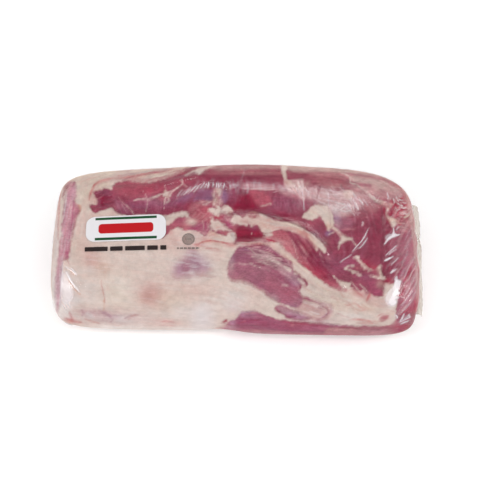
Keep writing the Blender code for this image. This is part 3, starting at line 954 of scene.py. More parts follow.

# Soft lines over the lean: tone, strength, width in pixels, route. The white and pale lines in
# the band under the top outline, in the sheen at the top right and on the right end are painted
# highlights on the film's folds.
leanStreaks = """
pit 0.8 2.4 102,198 106,197 112,196.5
pit 0.8 2.8 103,197 102,202 103,206
wine 0.7 1.6 116,197 120,199 124,201
pink 0.35 1.2 122,200 126,206 130,212
mauve 0.5 1.6 115,198 118,204 121,210
pale 0.3 1.1 118,196 123,202 128,208
pink 0.4 1.2 113,204 116,209 117,213
pale 0.25 1.1 121,203 124,208 127,213
mauve 0.4 1.6 94,194 98,192 102,191
pink 0.35 1.4 96,199 100,197 104,194
pit 0.7 1.8 262,212.5 268,215.5 276,219 284,220.6 292,221
deep 0.6 1.6 231,214 236,213.4 241,213.6
stain 0.7 1.4 248,212.5 254,211.6 260,213.6
blush 0.5 1.6 247,214 252,214.6 258,213.8
redStain 0.6 1.2 250,216.6 254,216.8 257,216.4
pit 0.5 1.5 300,224.6 306,229.6 313,235 320,241 325,248
wine 0.6 1.8 277,183 275,188 273,196 270,206
wine 0.6 2 240,184 240.5,192 239.5,203
deep 0.6 1.8 239.6,194 239.6,198 240,203
mauve 0.5 1.4 280,190 281,198 281,207
wine 0.5 1.6 320,184 319,190 317,197
haze 0.5 1.6 222,185 222.6,190 221.6,196
haze 0.35 1.6 226,186 230,188 235,187
salmon 0.8 1.4 199,201 204,200.4 209,202 212,201
pale 0.7 1.5 203,204.6 207,203 211,200.6
brown 0.7 1.6 216,197 217,199 216.4,201
pink 0.6 1.3 193,207 198,209 203,213
pale 0.5 1.2 202,220 203.4,225 203,230
bright 0.5 1.4 386,205 385,212 387,220 391,228
deep 0.6 2 384,208 386,214 388,221 391,229
wine 0.7 1.8 356.4,212 357,222 357.6,232 358,240
deep 0.4 1.4 360,238 362,244 362,248
wine 0.7 2 385,254 384,266 385,278 387,283
bright 0.6 2 366,264 372,268 378,266
bright 0.5 1.6 398,262 403,258
pink 0.5 1.8 342,229 350,228.5 356,229
pink 0.5 1.3 326,255 329,258 332,260
salmon 0.5 1.8 284,240 292,248 300,256 308,264
pale 0.5 1.2 292,239 294,245 296,252 298,258
pink 0.6 1.4 298,240 301,245 304,252 307,259
pale 0.45 1.1 302,246 305,251 308,257
pink 0.5 1.3 288,243 292,250 296,258
pale 0.45 1.1 319,251 321,255 324,259
pink 0.4 1.2 324,255 327,259 329,262
deep 0.55 1.4 295,240 299,248 303,257
deep 0.55 1.6 303,242 308,250 312,258
deep 0.5 2 304,252 311,260 317,268
bright 0.6 2 302,262 309,268 316,274 324,280
salmon 0.6 1.6 306,236 311,241 314,246
cream 0.7 1.5 271,240.6 276,243.6 280,248
bright 0.9 1.8 266,238 271,240 276,242.4
pale 0.6 1.4 262,236 266,236.6 270,238
wine 0.8 1.6 257,244.6 260,245 264,244.6
wine 0.6 1.4 246,245.6 252,245.8 256,246.4
wine 0.6 1.5 262,259 267,260.6 271,261.6
wine 0.6 1.3 256,263 261,264 266,265.4
wine 0.6 1.5 266,250.5 270,252 274,254
wine 0.6 1.4 276,256.6 281,257 285,258
plum 0.6 1.8 281,261 285,261.6 288,263
plum 0.7 1.8 285,264.6 288,266 291,266
plum 0.6 1.8 295,275 299,275.6 302,278
plum 0.5 1.4 270,272 276,275 282,278
pale 0.4 1 238,264 246,264.5 252,264
pale 0.35 1 230,268 234,264 240,262
pink 0.35 1.2 238,276 246,273 254,270
lilac 0.5 1.6 238,250 244,249 250,250
plum 0.8 1.5 304,297.6 309,299.8 316,302 323,306 327,310
lilac 0.8 1.4 327,310 325,315 320,319
violet 0.8 2.6 318,308 321,309.5 324,311
plum 0.5 1.5 326,308 328,310 327,313
cool 0.5 1.2 322,313 325,311 326,314
plum 0.7 1.8 304,292.5 307,294.5 308,297.6
plum 0.7 1.8 287,317.8 291,317.6 296,317.6
violet 0.5 2 297,313 300,317 304,319
bright 0.7 1.6 223,323 226,321.6 229,321
coral 0.6 1.2 216,329 219,328.4 223,329
magenta 0.5 1.1 224,326 228,325.6 231,326.4
pink 0.7 1.3 244,314.8 250,314 258,313.4
pale 0.3 1 252,317 256,317.6 262,318
wine 0.4 1.8 240,320 250,321 262,321
coral 0.5 1.6 240,323 243,323 246,322
pink 0.5 1.8 291,326.6 294,325.6
bright 0.25 1.6 280,322.6 300,325 330,328
lilac 0.5 1.4 322,324.6 332,325.4 342,326.8
wine 0.5 1.8 340,328.4 360,329.6 380,330.4
cool 0.6 1.4 66,192 65,205 62,222
pink 0.5 1.3 71,195 69,210 66,225 64,240
magenta 0.5 1.2 74.6,196 73,210 71,226 68.6,240
pale 0.4 1.2 72,200 70,214 67.6,230
cool 0.6 1.4 61,210 60,225 59.5,240
magenta 0.5 2.2 66,250 67,254 66,258
slate 0.4 1.4 62,262 62,272 61.5,285
endPink 0.8 2 57.5,262 57.5,285 57,308
pale 0.8 1.1 142.4,190.8 143.6,191
mauve 0.5 1.1 156,184 158,188
pale 0.75 1.1 251.4,231.6 251.8,234.4
pale 0.5 1.2 164,206 164,208.5
pink 0.6 1.6 366,216.6 368.5,217
pale 0.6 1.3 363.4,222 362.6,225.6
apricot 0.7 1.6 396,219 399,222 401,224
bright 0.6 2 409,284 411,276 414,268
bright 0.6 1.8 404,281 408,276 411,270
pale 0.5 1.2 402,290 407,282 412,273 416,264
pale 0.45 1.2 402,298 408,289 413,281 418,272
pale 0.45 1.2 401,306 407,297 412,290 417,282
pale 0.45 1.2 401,313 407,305 412,298 417,290
haze 0.6 1.4 403,280 407,271 411,262 415,253
magenta 0.4 1.3 401,302 406,294 411,287
magenta 0.4 1.3 400,310 405,302 411,294
magenta 0.4 1.3 403,294 408,286 413,278
bright 0.6 2 401,316 406,312 412,308
bright 0.8 2 397,297 401,295 404,293
bright 0.5 1.6 400,286 399,289 399,292
wine 0.5 1.6 399,300 397,304 396,309
wine 0.5 1.6 409,250 405,258 402,264
bright 0.6 1.6 392,203 393,208
bright 0.7 2.2 396,200 401,198 405,197
pale 0.7 1.3 395,200.4 397.4,202 398,205
pale 0.7 1.3 400.6,201 402,203.6 402.4,206
pale 0.7 1.3 397,207 401,206 405,206.4
pale 0.7 1.4 404,208 407,207.6 409.6,209
cream 0.7 1.8 404,217 407.4,215.6 410,214
pale 0.5 1.2 399,212 403,212.6 407,211.6
bright 0.5 1.4 393,209 396,213 399,215.6
apricot 0.6 1.6 387,205.6 388.6,208 388.4,211
bright 0.5 1.4 385,205 384,209 385.6,213
pale 0.75 1.8 241,187.4 250,188 260,188.4 270,188.8 277,189
haze 0.6 2.6 242,184.4 255,185.2 268,185.8 277,186.4
pale 0.5 1.2 286,181 287,186 290,191
pale 0.7 1.6 292,180 293,186 296,192
white 0.5 1.6 298,179.6 299,185 301,191
white 0.4 1.4 302,180 303,186 303,191
mauve 0.4 1.2 289,182 291,187 294,192
mauve 0.35 1.2 296,181 297,187 299,192
pale 0.6 1.5 310,189 309.6,194 311,199
mauve 0.45 1.3 314,188 312.6,194 312,199
pale 0.5 1.4 325,190 324,196 324.6,202
mauve 0.4 1.2 329,191 329,198 329.6,205
pale 0.7 1.3 344,206 349,203.6 354,201
white 0.6 1.2 340,209 346,206 352,203.6
mauve 0.5 1.1 343,200 347,204 351,209
mauve 0.45 1.1 349,199 352.6,204 356,208.6
mauve 0.4 1.1 353,196 357,201 360,206
haze 0.5 1.4 358,198 362,202 366,206
pale 0.8 1.2 389,196.4 391,199 392,202
white 0.7 1 393,197.4 394.6,200 394,203
white 0.8 1 396,195.6 397.6,198.6 399.6,200.6
white 0.7 1 399,198 401.6,199.6 404,199.4
white 0.8 1 398.6,202 400.6,204.4 403.6,204.8
white 0.6 1 402.4,201 405,202.6 407.6,202.2
white 0.7 1 401,206.4 404,207.6 407,206.4
pale 0.7 1 395,206 397,208.4 400,209
pale 0.7 1 400,211 403.4,211.8 406.6,210.4
white 0.6 1 404,213.4 407,213.6 410,212.4
pale 0.6 1 394,211 396.6,213 399,213.4
bright 0.8 1.3 391,199 392.4,203 391.6,206
bright 0.7 1.3 397,203.6 398.4,206.4 398,208.6
bright 0.7 1.2 402,208.8 405,209.6 408,208.6
deep 0.5 1.2 394,204 395,206.6 394.6,209
bright 0.6 1.2 399.6,214.6 403,215 406,214
pit 0.6 1.3 386,207 387.4,210 386.4,213
pit 0.6 1.3 391,210 392.6,213 392,216
deep 0.5 1.2 397,216 400,217 403,219
salmon 0.6 1.2 396,221 400,219.6 404,220.4
pale 0.5 1 398,224 402,222.6 406,223.4
pale 0.5 1 397,228 401,226.4 405,227
bright 0.5 1.3 397,225.6 401,224.6 404,225.4
pink 0.5 1.2 396,232 401,230 406,231
pale 0.5 1.2 199,199.6 203,201 207,200
pale 0.7 1.8 202,203 205,204.6 208,203.4
pale 0.6 1.6 206,199.6 209,201.6 212,201
wine 0.4 1.4 195,209 198,211 203,210.6
wine 0.45 1.4 206,215 209,218 210,222
pale 0.5 1.2 207,222 208,226 207,230
pink 0.5 1.2 211,207 211.6,211 210,214
pale 0.5 1.4 224,216 227,219 229,222.6
pit 0.5 1.4 212,218 215,217.4 218,218
mauve 0.5 1.2 249,251 256,252.6 263,254
violet 0.45 1.3 240,256 246,257.6 253,258.6
pale 0.4 1 262,247.6 268,249.6 274,252
pale 0.45 1 256,259.6 263,260.4 270,262.6
pale 0.4 1 276,262.6 280,264.6 283,268
plum 0.4 1.2 264,262 270,264 276,268
pale 0.4 1 282,272 287,275 292,279
violet 0.4 1.3 286,279 291,283 295,288
pale 0.5 1 252,245.6 257,246.6 262,247.2
pale 0.4 1 294,281 298,285 299,290
magenta 0.5 1.4 304,298.6 308,299.6 312,301.6
violet 0.5 1.2 321,305.4 326,308 328.4,311.4
violet 0.45 1.2 327.6,314.6 324,317.6 320,319.6
pale 0.6 1.8 134,200 140,199 148,199.4 155,197.2
pale 0.6 1.6 156,196.6 161,193.6 165,194
beige 0.6 3.6 164.4,190 166.6,194 168,197
pale 0.6 1.6 169,194.4 174,189.6 179,186 183,183.2
pale 0.5 1.4 183,180.4 183.4,183 187,186
pale 0.5 1.6 166,196 165,200 164.4,204
pale 0.4 1.2 145,193.6 147,198
white 0.4 1.2 183,194.6 187,191.4 191,187.4
white 0.4 1.2 188,193 191,190 195,186
white 0.4 1.2 193,191.6 196,188.4 199,185
wine 0.5 1.6 103.4,196.6 109,197.4 115,197.6
wine 0.5 1.6 104,198 102.6,203 101,208
bright 0.7 2.4 404,281 408,274 412,265
bright 0.5 1.8 399,297 404,289 409,280
bright 0.4 1.8 399,306 405,298 411,289
magenta 0.5 1.6 401,286 405,278 408,270
bright 0.6 1.6 385,205 388,210 387,216
white 0.5 1.2 386.4,206 388,209 389.6,212
wine 0.5 1.2 320.6,185 318.6,192 317,199
white 0.5 1.2 338,202 342,204 346,203
white 0.5 1.2 340,209 345,211 351,210
white 0.6 1.2 349.6,197.6 352,203 354.4,209
wine 0.5 1.2 352,199.6 354.4,205 356.4,211
white 0.6 1.2 355,201 357.4,206 359,210.4
white 0.6 1.3 358.6,196.6 361.6,201 364,204.6
wine 0.5 1.2 356.6,196.6 360,202.4 363,208
deep 0.6 1.5 210,180 210.6,185 210.4,190
wine 0.6 1.5 226,180 226.4,184 226,189
wine 0.7 1.5 240,180 240.4,186 240,192
wine 0.5 1.2 243.4,181 243,186 243,191
deep 0.4 1.3 388,262 391,256 394,251
deep 0.4 1.3 387,276 391,270 394,265
deep 0.4 1.2 402,300 405,295 408,290
deep 0.4 1.2 404,318 408,312 412,306
bright 0.5 1.4 412,322 414,316 416,310
"""

# The same for the fat: spots, then lines. The white and cool spots at the left front corner and the
# white spot under the right sheen are a painted sheen.
fatWashes = """
beige 0.8 86,188 12,12
beige 0.7 100,183 12,6
blush 0.5 80,230 10,16
cream 0.5 87,200 6,10
beige 0.4 75,246 8,10
grey 0.6 85,184 8,6
grey 0.5 120,176 20,4
stain 0.55 90,256 10,11
stain 0.3 94,263 6,6
orange 0.35 103,268 7,8
cool 0.3 92,292 16,12
stain 0.85 149,294 14,11
stain 0.3 162,297 16,14
stain 0.3 140,288 16,10
bruise 0.7 108,317 20,5 4,0
bruise 0.6 84,313 9,4 10,0
lilac 0.3 95,315 12,5
stain 0.35 136,317 10,4 -14,0
bruise 0.3 122,321 12,4
blush 0.4 150,324 20,5
streak 0.5 167,323 14,3 4,0
stain 0.5 72,320 10,4 12,0
orange 0.4 72,320 8,5
cool 0.8 202,318 12,14
cool 0.4 182,312 10,8
lilac 0.95 184,267 9,6 -30,0
lilac 0.6 196,265 9,9
lilac 0.5 192,256 6,6
grey 0.6 208,267 10,9
lilac 0.3 177,270 6,8
mauve 0.5 191,250 5,3
lilac 0.3 205,262 6,6
bruise 0.3 192,262 16,14
blush 0.5 196,290 24,10
blush 0.4 217,252 8,8
streak 0.4 176,240 10,8
blush 0.5 165,245 12,8
beige 0.4 215,240 10,6
pale 0.5 196,236 6,6
stain 0.25 255,292 14,8
cool 0.4 236,298 14,8
lilac 0.3 234,308 8,6
grey 0.5 320,296 18,8
beige 0.5 335,302 26,12
blush 0.4 355,296 16,5
orange 0.25 368,309 14,4
cool 0.4 352,318 16,5
grey 0.4 330,318 14,5
lilac 0.4 318,322 16,2.5
grey 0.4 305,286 8,8
silver 0.5 300,284 8,10
grey 0.4 248,220 8,4
stain 0.5 308,236 9,3 40,0
stain 0.4 262,226 8,4
orange 0.3 300,232 8,3 35,0
grey 0.5 270,221 12,3 25,0
beige 0.4 309,213 8,5
beige 0.5 330,220 4,8
orange 0.45 328,226 6,3
beige 0.5 284,175 5,6
beige 0.5 347,238 10,4
beige 0.5 385,204 8,6
orange 0.3 392,219 5,5
stain 0.4 365,264 8,6 45,0
beige 0.4 350,270 8,4
beige 0.4 343,284 8,5
orange 0.3 378,272 6,6
streak 0.4 174,221 8,3 -25,0
streak 0.5 112,213 4,3
blush 0.6 96,216 12,4
cool 0.5 54,290 3,40
blush 0.5 56,215 4,30
haze 0.6 284,229 10,2
haze 0.5 306,235 6,2.5 40,0
redStain 0.5 303,232 6,2.4 38,0
apricot 0.5 213,233 5,3
haze 0.5 205,237 4,4
haze 0.5 368,297 3,4
streak 0.9 199,244.6 10,2
bluish 0.95 195,261 8,7
bluish 0.85 188,270 10,5 -20,0
lilac 0.6 204,268 6,5
salmon 0.55 95,200 5,6
taupe 0.6 247,222 6,2.4
taupe 0.5 258,224 5,3
taupe 0.7 285,184 3.5,4
stain 0.5 288,182 5,3
haze 0.55 371,295 5,4
white 0.9 55,305 4,14
white 0.7 60,318 6,5
white 0.6 110,329 40,3.5
white 0.5 180,330 30,3
cool 0.5 120,319 34,5
stain 0.4 222,243.6 10,1.6
cool 0.45 60,284 3,10
salmon 0.6 388,206 4,4
redStain 0.35 232,244 5,2.4
redStain 0.4 285,256 9,3.6 45,0
redStain 0.3 273,246.5 7,3 30,0
redStain 0.28 265,223 10,3.6 20,0
redStain 0.28 246,220 9,3.6
redStain 0.28 290,227 12,3.6 16,0
redStain 0.55 310,240 8,3 45,0
redStain 0.35 258,243.6 10,1.8
cream 0.6 120,290 18,14
cream 0.4 170,300 16,10
white 0.3 130,288 20,10
white 0.4 230,305 12,7
cool 0.45 70,300 6,12
streak 0.35 70,321 8,4
cream 0.5 376,304 10,4
streak 0.4 210,236 8,5
salmon 0.5 363,294 5,4
haze 0.6 284,184 4,5
rose 0.6 356,291.4 6,2.6 40,0
white 0.8 390,306 5,3.4
bruise 0.5 193,274 12,2.6
redStain 0.4 170,232 4,3
redStain 0.45 232,244.4 5,2
taupe 0.5 142,178 17,3.4
fat 0.6 382,309 10,6
taupe 0.5 368,324 9,2.2
salmon 0.7 385,318 4.4,3
cool 0.4 56,232 2.5,22
taupe 0.5 290,258 9,4 35,0
taupe 0.45 265,222 10,4
taupe 0.3 290,226 10,4
salmon 0.55 387,203 6,3.4
bruise 0.6 314,304 6,5
redStain 0.45 257,243 8,1.8
redStain 0.5 315,247 2.6,3
mauve 0.35 185,265 5,5
fat 0.5 76,322 4,4
bruise 0.5 192,275 10,3
bruise 0.6 315,305 9,4 20,0
white 0.6 60,308 3,6
fat 0.6 78,308 4,6
white 0.6 67,313 4,5
deepStain 0.8 387,222 2,4
stain 0.7 231,211.6 3,2
redStain 0.45 259,244.4 6,1.8
mauve 0.45 184,271 5,3
stain 0.5 355,293 3,3
bruise 0.5 343,287 4,3
stain 0.4 217,226 4,3
mauve 0.5 186,266 5,5 -30,0
berry 0.5 185,266.6 3.2,4 -30,0
lilac 0.5 178.6,270 3,5
violet 0.35 198,266 3,5
bruise 0.5 191,254 5,3
stain 0.35 98,316 12,4
cool 0.5 76,300 4,5
deepStain 0.3 149,297 9,7
redStain 0.5 299,233.4 4,1.6 25,0
redStain 0.45 245,243 5,1.6
stain 0.5 94.6,201 2.4,4
fat 0.6 77,323 5,2.4
redStain 0.6 388.4,222.6 1.6,4
"""

fatStreaks = """
redStain 0.65 2.4 89,200 90,194 92,189 95,184 99,181
streak 0.5 2.6 96,184 104,180 118,177 126,178
streak 0.6 3 118,175 128,176 140,174 150,172
streak 0.4 3 128,179 140,177 150,175
grey 0.6 1.8 140,172 155,169 172,166
cream 0.5 2 138,177 152,175 168,171 184,168
grey 0.6 1.8 140,178 155,176 168,173
salmon 0.3 2 150,174 165,171 180,167
redStain 0.4 1.8 60,184 59,200 58,218 57.5,240
streak 0.5 1.4 66,256 68,262 70,266
redStain 0.5 2.4 72,203 77,205 79,208 79,213
orange 0.5 2.4 79,204 80.5,208 79,212
blush 0.5 3 84,212 85,225 83,240
stain 0.3 2 92,212 93,217 95,222
stain 0.6 1.6 101,280 102,288 104,296 104.8,305
orange 0.35 2 103,300 104,306 103,312
orange 0.7 1.8 65,277 70,283 75,289 80,295
orange 0.5 1.2 67,266 70,270 74,275
redStain 0.45 3 64,319 69,320 74,322 82,323
redStain 0.4 2.6 69,312 71,317 72,322
bruise 0.7 2 81,310 83,313 82,317
stain 0.6 2.4 84,319 92,322 100,324
bruise 0.6 2.8 98,311 105,314 112,319 110,323
bruise 0.6 2.4 124,319 130,317 138,315
cool 0.5 3.6 86,313 90,316 95,318
lilac 0.35 2.6 102,313 112,317 120,318
stain 0.4 2.6 128,320 133,317 139,315
streak 0.5 1.4 160,323 167,322 175,323
streak 0.4 1.4 158,326 168,326 176,327
blush 0.4 1.4 108,324 116,326 122,325
redStain 0.85 1.8 194,243.6 199,243.4 203,241.4 212,240.5 222,242 230,243.5
stain 0.6 1.4 199,243 204,241.5 210,241
mauve 0.8 1.8 200,232 203,233.5 206,234
redStain 0.4 1.4 205,248 214,248 222,250
streak 0.4 1.6 208,236 216,234 226,233
stain 0.5 1.6 214,233 222,232 230,232
redStain 0.5 1.5 215,216 219,217.5 223,218
streak 0.5 1.5 216,228 222,226 228,228
streak 0.6 2 251,214 256,215 262,217
grey 0.6 1.4 262,219 270,223 280,225 288,225
streak 0.5 1.4 268,225 276,227 290,228 300,232
cream 0.7 2 270,220 282,222.5 294,225 303,231
grey 0.5 1.2 246,222 254,221 260,222
stain 0.5 2 300,232 308,236 314,240 318,245
streak 0.6 1.4 262,224 268,228 274,229
stain 0.5 1.4 245,215.5 252,217 258,218
cream 0.7 2.4 308,236 315,242 321,248 325,252
grey 0.5 1.2 292,262 302,270 312,279 320,285
stain 0.3 1.2 290,258 300,267 310,276 319,283
cream 0.6 2.2 280,250 290,258 300,266 308,273
grey 0.45 1.2 300,276 308,283 316,290
cream 0.5 2 310,276 318,283 326,290 332,293
stain 0.35 1.4 330,291 322,287 316,283
streak 0.35 1.6 340,290 342,295 345,298
streak 0.4 1.6 357,294 362,296 366,300
redStain 0.35 1.8 371,292 369,298 366,302
streak 0.35 1.6 344,304 352,307 360,311 366,310
streak 0.45 1.6 346,306 354,304 360,307 368,311
stain 0.35 1.3 353,310 357,314 359,315
streak 0.6 1.8 355,321 362,320 370,322 373,325
stain 0.45 1.6 349,321 356,319 364,322
bruise 0.4 1.4 330,303 333,307 333,311
bruise 0.35 1.2 338,305 340,308
bruise 0.35 1.4 334,316 340,314 344,317
lilac 0.5 1.8 322,303 330,306 331,312 327,316
bruise 0.4 1.4 330,296 334,297 337,300
orange 0.2 1.8 386,312 391,314 397,315
stain 0.35 1.5 373,321 378,322 382,321
blush 0.6 2.2 384,280 388,283 392,285
salmon 0.4 2.2 338,290 346,291 352,289
streak 0.5 2 330,229 336,231 342,236
bruise 0.4 1.6 170,276 180,278 192,278
bruise 0.3 1.6 203,275 210,277 217,276
bruise 0.25 1.4 212,289 216,291
grey 0.4 1.6 170,262 175,259 182,257
cool 0.5 1.6 228,231 233,233 234,240
stain 0.4 1.3 186,236 184,241 186,246
rose 0.45 1.8 124,178.6 136,175 150,172.8 166,170
grey 0.5 1.6 128,174.6 142,171.6 158,168.8
cream 0.55 1.6 150,177.6 162,174.6 176,171
dusty 0.45 1.6 144,181 156,178 170,174.6
cream 0.5 1.4 172,168.4 184,166.8 196,165.4
rose 0.4 1.4 168,172.6 178,170 190,167
grey 0.45 1.4 110,179 120,176 130,173.6
streak 0.45 2 98,181 106,178.6 114,177
cream 0.5 2.2 99,186.6 104,184 110,182
streak 0.4 1.2 352,300.6 357,303.6 360,308 364,311
streak 0.4 1.2 346,301 350,304.6 354,308
stain 0.4 1.2 360,302 364,306 369,309.6
stain 0.35 1.1 330,297 336,300 341,303.6
bruise 0.35 1.2 322,300 328,303 333,306.6
stain 0.35 1.2 336,313 342,316 350,318.6
streak 0.5 2.2 352,320.4 360,320.6 368,321.8 376,322
streak 0.45 1.6 356,323.4 366,323.8 378,324
redStain 0.35 1.2 376,318 380,315.6 384,314
streak 0.4 1.2 386,309.6 391,311 395,313
cream 0.5 1.6 306,290 316,296 326,301
grey 0.4 1.3 312,288 322,294 332,298.6
stain 0.35 1.2 300,283 306,288 312,293
haze 0.5 1.6 303,303.6 310,306.6 318,309.6
cool 0.5 1.4 309,311 315,313.6 320,314.6
bluish 0.45 1.3 312,309.6 318,311.6 322,311.4
redStain 0.6 1.8 370.6,290 369,295 366.4,301.6
streak 0.5 1.4 356,291 360,293.6 364,298
redStain 0.45 1.5 352,288 357,291.6 362,296
bruise 0.5 1.1 328.8,204 329.6,214 331,227
streak 0.3 1.1 76,182 88,178.4 102,175.6
stain 0.25 1.1 84,186 96,181 110,177.6
grey 0.3 1.2 80,178.6 92,175.4 106,172.6
"""

# Which way the fibres run: degrees down from the horizontal, place, reach
fibreWays = """
88 158,204 34,9
56 120,206 10,9
-10 150,188 34,9
-30 180,200 16,8
0 215,172 70,8
6 330,178 50,10
86 226,194 16,9
82 284,203 24,12
75 250,205 12,8
52 300,247 26,20
54 325,262 20,18
76 352,232 34,22
-35 345,262 24,12
14 258,258 30,10
24 258,275 26,10
40 285,262 14,10
32 270,290 32,14
2 300,328 110,7
-12 244,319 20,6
-58 405,285 12,44
-52 398,212 14,20
98 68,225 14,40
93 58,285 6,40
-50 200,216 14,10
10 225,222 14,8
20 103,198 14,10
24 315,310 16,9
8 140,265 70,40
-10 150,173 50,6
16 275,222 40,10
42 318,285 34,16
10 350,304 50,12
4 108,317 50,8
-70 85,200 16,26
32 316,210 14,10
34 390,185 20,10
8 335,200 26,14
"""

# Fibres and mottle: lighter tone, darker tone, strength, place, reach. The row at 335,200 that
# lightens towards white and the row at 385,186 that lightens towards the rim tone are painted sheen.
leanGrain = """
mauve deep 0.55 158,204 30,9
mauve wine 0.65 120,206 10,9
salmon wine 0.45 150,188 34,9
dusty wine 0.4 215,172 70,8
salmon wine 0.4 330,178 50,10
slate wine 0.45 226,194 16,9
mauve wine 0.45 284,203 24,12
pink deep 0.7 300,247 24,18
rose pit 0.55 325,262 20,18
mauve deep 0.4 352,232 34,22
violet deep 0.45 345,262 30,16
mauve plum 0.35 258,268 30,20
silver plum 0.95 272,258 26,10 25,0
pale plum 0.55 284,266 13,8 50,0
lilac plum 0.5 292,275 12,16
mauve rose 0.35 276,292 30,12
mauve wine 0.5 300,328 110,7
lilac bright 0.45 244,319 20,6
pale magenta 0.65 405,285 12,44
pale bright 0.95 399,212 13,18
cool magenta 0.45 68,225 14,40
cool endPink 0.45 58,285 6,40
pale rose 0.3 200,216 20,12
pale rose 0.6 225,222 14,8
violet pit 0.4 103,198 14,10
cool lilac 0.7 315,310 16,9
red deep 0.4 246,204 14,9
white haze 0.5 335,200 28,14
rim dusty 0.45 385,186 24,10
"""
fatGrain = """
cool blush 0.32 140,275 120,60
cream grey 0.3 300,290 90,40
cream stain 0.5 300,270 34,20
cool blush 0.45 345,305 50,18
cream blush 0.4 95,200 40,30
cream bruise 0.6 150,172 50,6
cream stain 0.6 275,222 40,10
cool streak 0.5 210,240 30,12
cool bruise 0.5 105,317 50,8
cool lilac 0.4 190,265 24,14
cool blush 0.35 230,295 50,20
cream stain 0.5 316,210 16,10
cool blush 0.35 75,240 20,50
"""
flow = dict(steps=9, turnEvery=3, halfLength=8.0, widths=(1.4, 2.8), shares=(0.75, 0.45),
            sharpen=2.3)


# Direction of the fibres as a unit vector: the doubled angles of the soft spots are averaged
def fibreWay(u, v):
    c, s = np.full(u.shape, 1e-3), np.zeros(u.shape)
    for degrees, *place in rows(fibreWays):
        weight = spot(u, v, " ".join(place))
        c = c + weight * math.cos(math.radians(2 * float(degrees)))
        s = s + weight * math.sin(math.radians(2 * float(degrees)))
    half = np.arctan2(s, c) / 2
    return np.cos(half), np.sin(half)


# Noise smeared along the fibres: its mean over a short walk both ways from each point
def fibreNoiseAt(u, v, seed):
    cu, sv = fibreWay(u, v)
    step = flow["halfLength"] / flow["steps"]
    total = [0.0] * len(flow["widths"])
    for way in (-1, 1):
        pu, pv, du, dv = u, v, cu * way, sv * way
        for k in range(flow["steps"]):
            pu, pv = pu + du * step, pv + dv * step
            if (k + 1) % flow["turnEvery"] == 0:
                nu, nv = fibreWay(pu, pv)
                same = np.sign(nu * du + nv * dv)
                du, dv = nu * same, nv * same
            for w, width in enumerate(flow["widths"]):
                total[w] = total[w] + cloud(pu / width, pv / width, seed + w, 1)
    mixed = sum(share * n / n.std() for share, n in zip(flow["shares"], total))
    return np.clip(mixed / flow["sharpen"], -1, 1)


# The noise lightens and darkens towards two tones inside each soft spot
def fibres(colour, u, v, places, noiseHere):
    for lighter, darker, strength, *place in rows(places):
        where = spot(u, v, " ".join(place)) * float(strength)
        colour = towards(colour, np.clip(noiseHere, 0, 1) * where, lighter)
        colour = towards(colour, np.clip(-noiseHere, 0, 1) * where, darker)
    return colour


u, v = pictureU.ravel(), pictureV.ravel()
wobble = dict(size=5.0, reach=0.6, ragged=0.8, raggedSize=2.4,
              patchMean=0.95, patches=0.8, patchSize=2.6, patchRange=(0.3, 1.35))
shakeU, shakeV = (wobble["reach"] * cloud(u / wobble["size"], v / wobble["size"], seed)
                  for seed in (3, 4))
u, v = u + shakeU, v + shakeV

edge = np.full(u.size, -np.inf)
for name, *route in rows(leanShapes):
    edge = np.maximum(edge, patch(u, v, " ".join(route)))
for name, *route in rows(fatShapes):
    edge = np.minimum(edge, -patch(u, v, " ".join(route)))
ragged = np.full(u.size, wobble["ragged"])
for amount, *place in rows(frayed):
    ragged += float(amount) * spot(u, v, " ".join(place))
edge = edge + ragged * cloud(u / wobble["raggedSize"], v / wobble["raggedSize"], 5)
for amount, *place in rows(softBorders):
    edge = edge * (1 - float(amount) * spot(u, v, " ".join(place)))
print("meat: outlines drawn")

flowNoise = fibreNoiseAt(pictureU.ravel(), pictureV.ravel(), 40)
print("meat: fibres", round(float(flowNoise.std()), 2))
patchNoise = cloud(u / wobble["patchSize"], v / wobble["patchSize"], 9)
patchy = np.clip(wobble["patchMean"] + wobble["patches"] * patchNoise, *wobble["patchRange"])
leanColour = np.tile(tone("lean"), (u.size, 1))
leanColour = wash(leanColour, u, v, leanWashes)
leanColour = fields(leanColour, u, v, leanFields)
leanColour = wash(leanColour, u, v, leanSpots)
leanColour = fibres(leanColour, u, v, leanGrain, flowNoise)
leanColour = streaks(leanColour, u, v, leanStreaks, patchy)
veinRows = "\n".join("fat " + " ".join(row) for row in rows(veins))
leanColour = streaks(leanColour, u, v, veinRows, patchy)
fatColour = np.tile(tone("fat"), (u.size, 1))
fatColour = wash(fatColour, u, v, fatWashes)
fatColour = fields(fatColour, u, v, fatFields)
fatColour = fibres(fatColour, u, v, fatGrain, flowNoise)
fatColour = streaks(fatColour, u, v, fatStreaks, patchy)
print("meat: colours drawn")


# Out of sight the loin goes on with lean and fat of its own: more lean up its back than at its
# base, less at the left, a round of it on each end, and streaks lengthways. In millimetres.
hidden = dict(
    fade=20.0, fadeNoise=0.5, fadeLong=8, fadeAcross=30,
    capStart=128, capOver=10,
    baseLean=-0.55, backLean=0.35, backStart=12, backOver=26,
    leftLess=0.5, leftStart=30, leftOver=80,
    roundHeight=42, roundReach=(44, 27), roundSteep=3, roundMost=0.9,
    streakLong=42.0, streakAcross=9.0, capQuiet=0.7, capSpots=0.35, capSpotSize=(16, 12),
    steep=7, streaks=1.1,
    tintLong=26, tintAcross=14, wineSteep=1.6,
    fibreDegrees=4, fibreLong=20, fibreAcross=1.6, fibres=0.5,
)
x = crossAt.ravel()
s = girthHere.ravel()
height = bare[..., 2].ravel()
across = bare[..., 1].ravel()
h = hidden
onCap = ease((np.abs(x) - h["capStart"]) / h["capOver"])
upBack = ease((height - h["backStart"]) / h["backOver"])
leanLikely = h["baseLean"] + (h["backLean"] - h["baseLean"]) * upBack
leanLikely = leanLikely - h["leftLess"] * ease((-x - h["leftStart"]) / h["leftOver"]) * (1 - onCap)
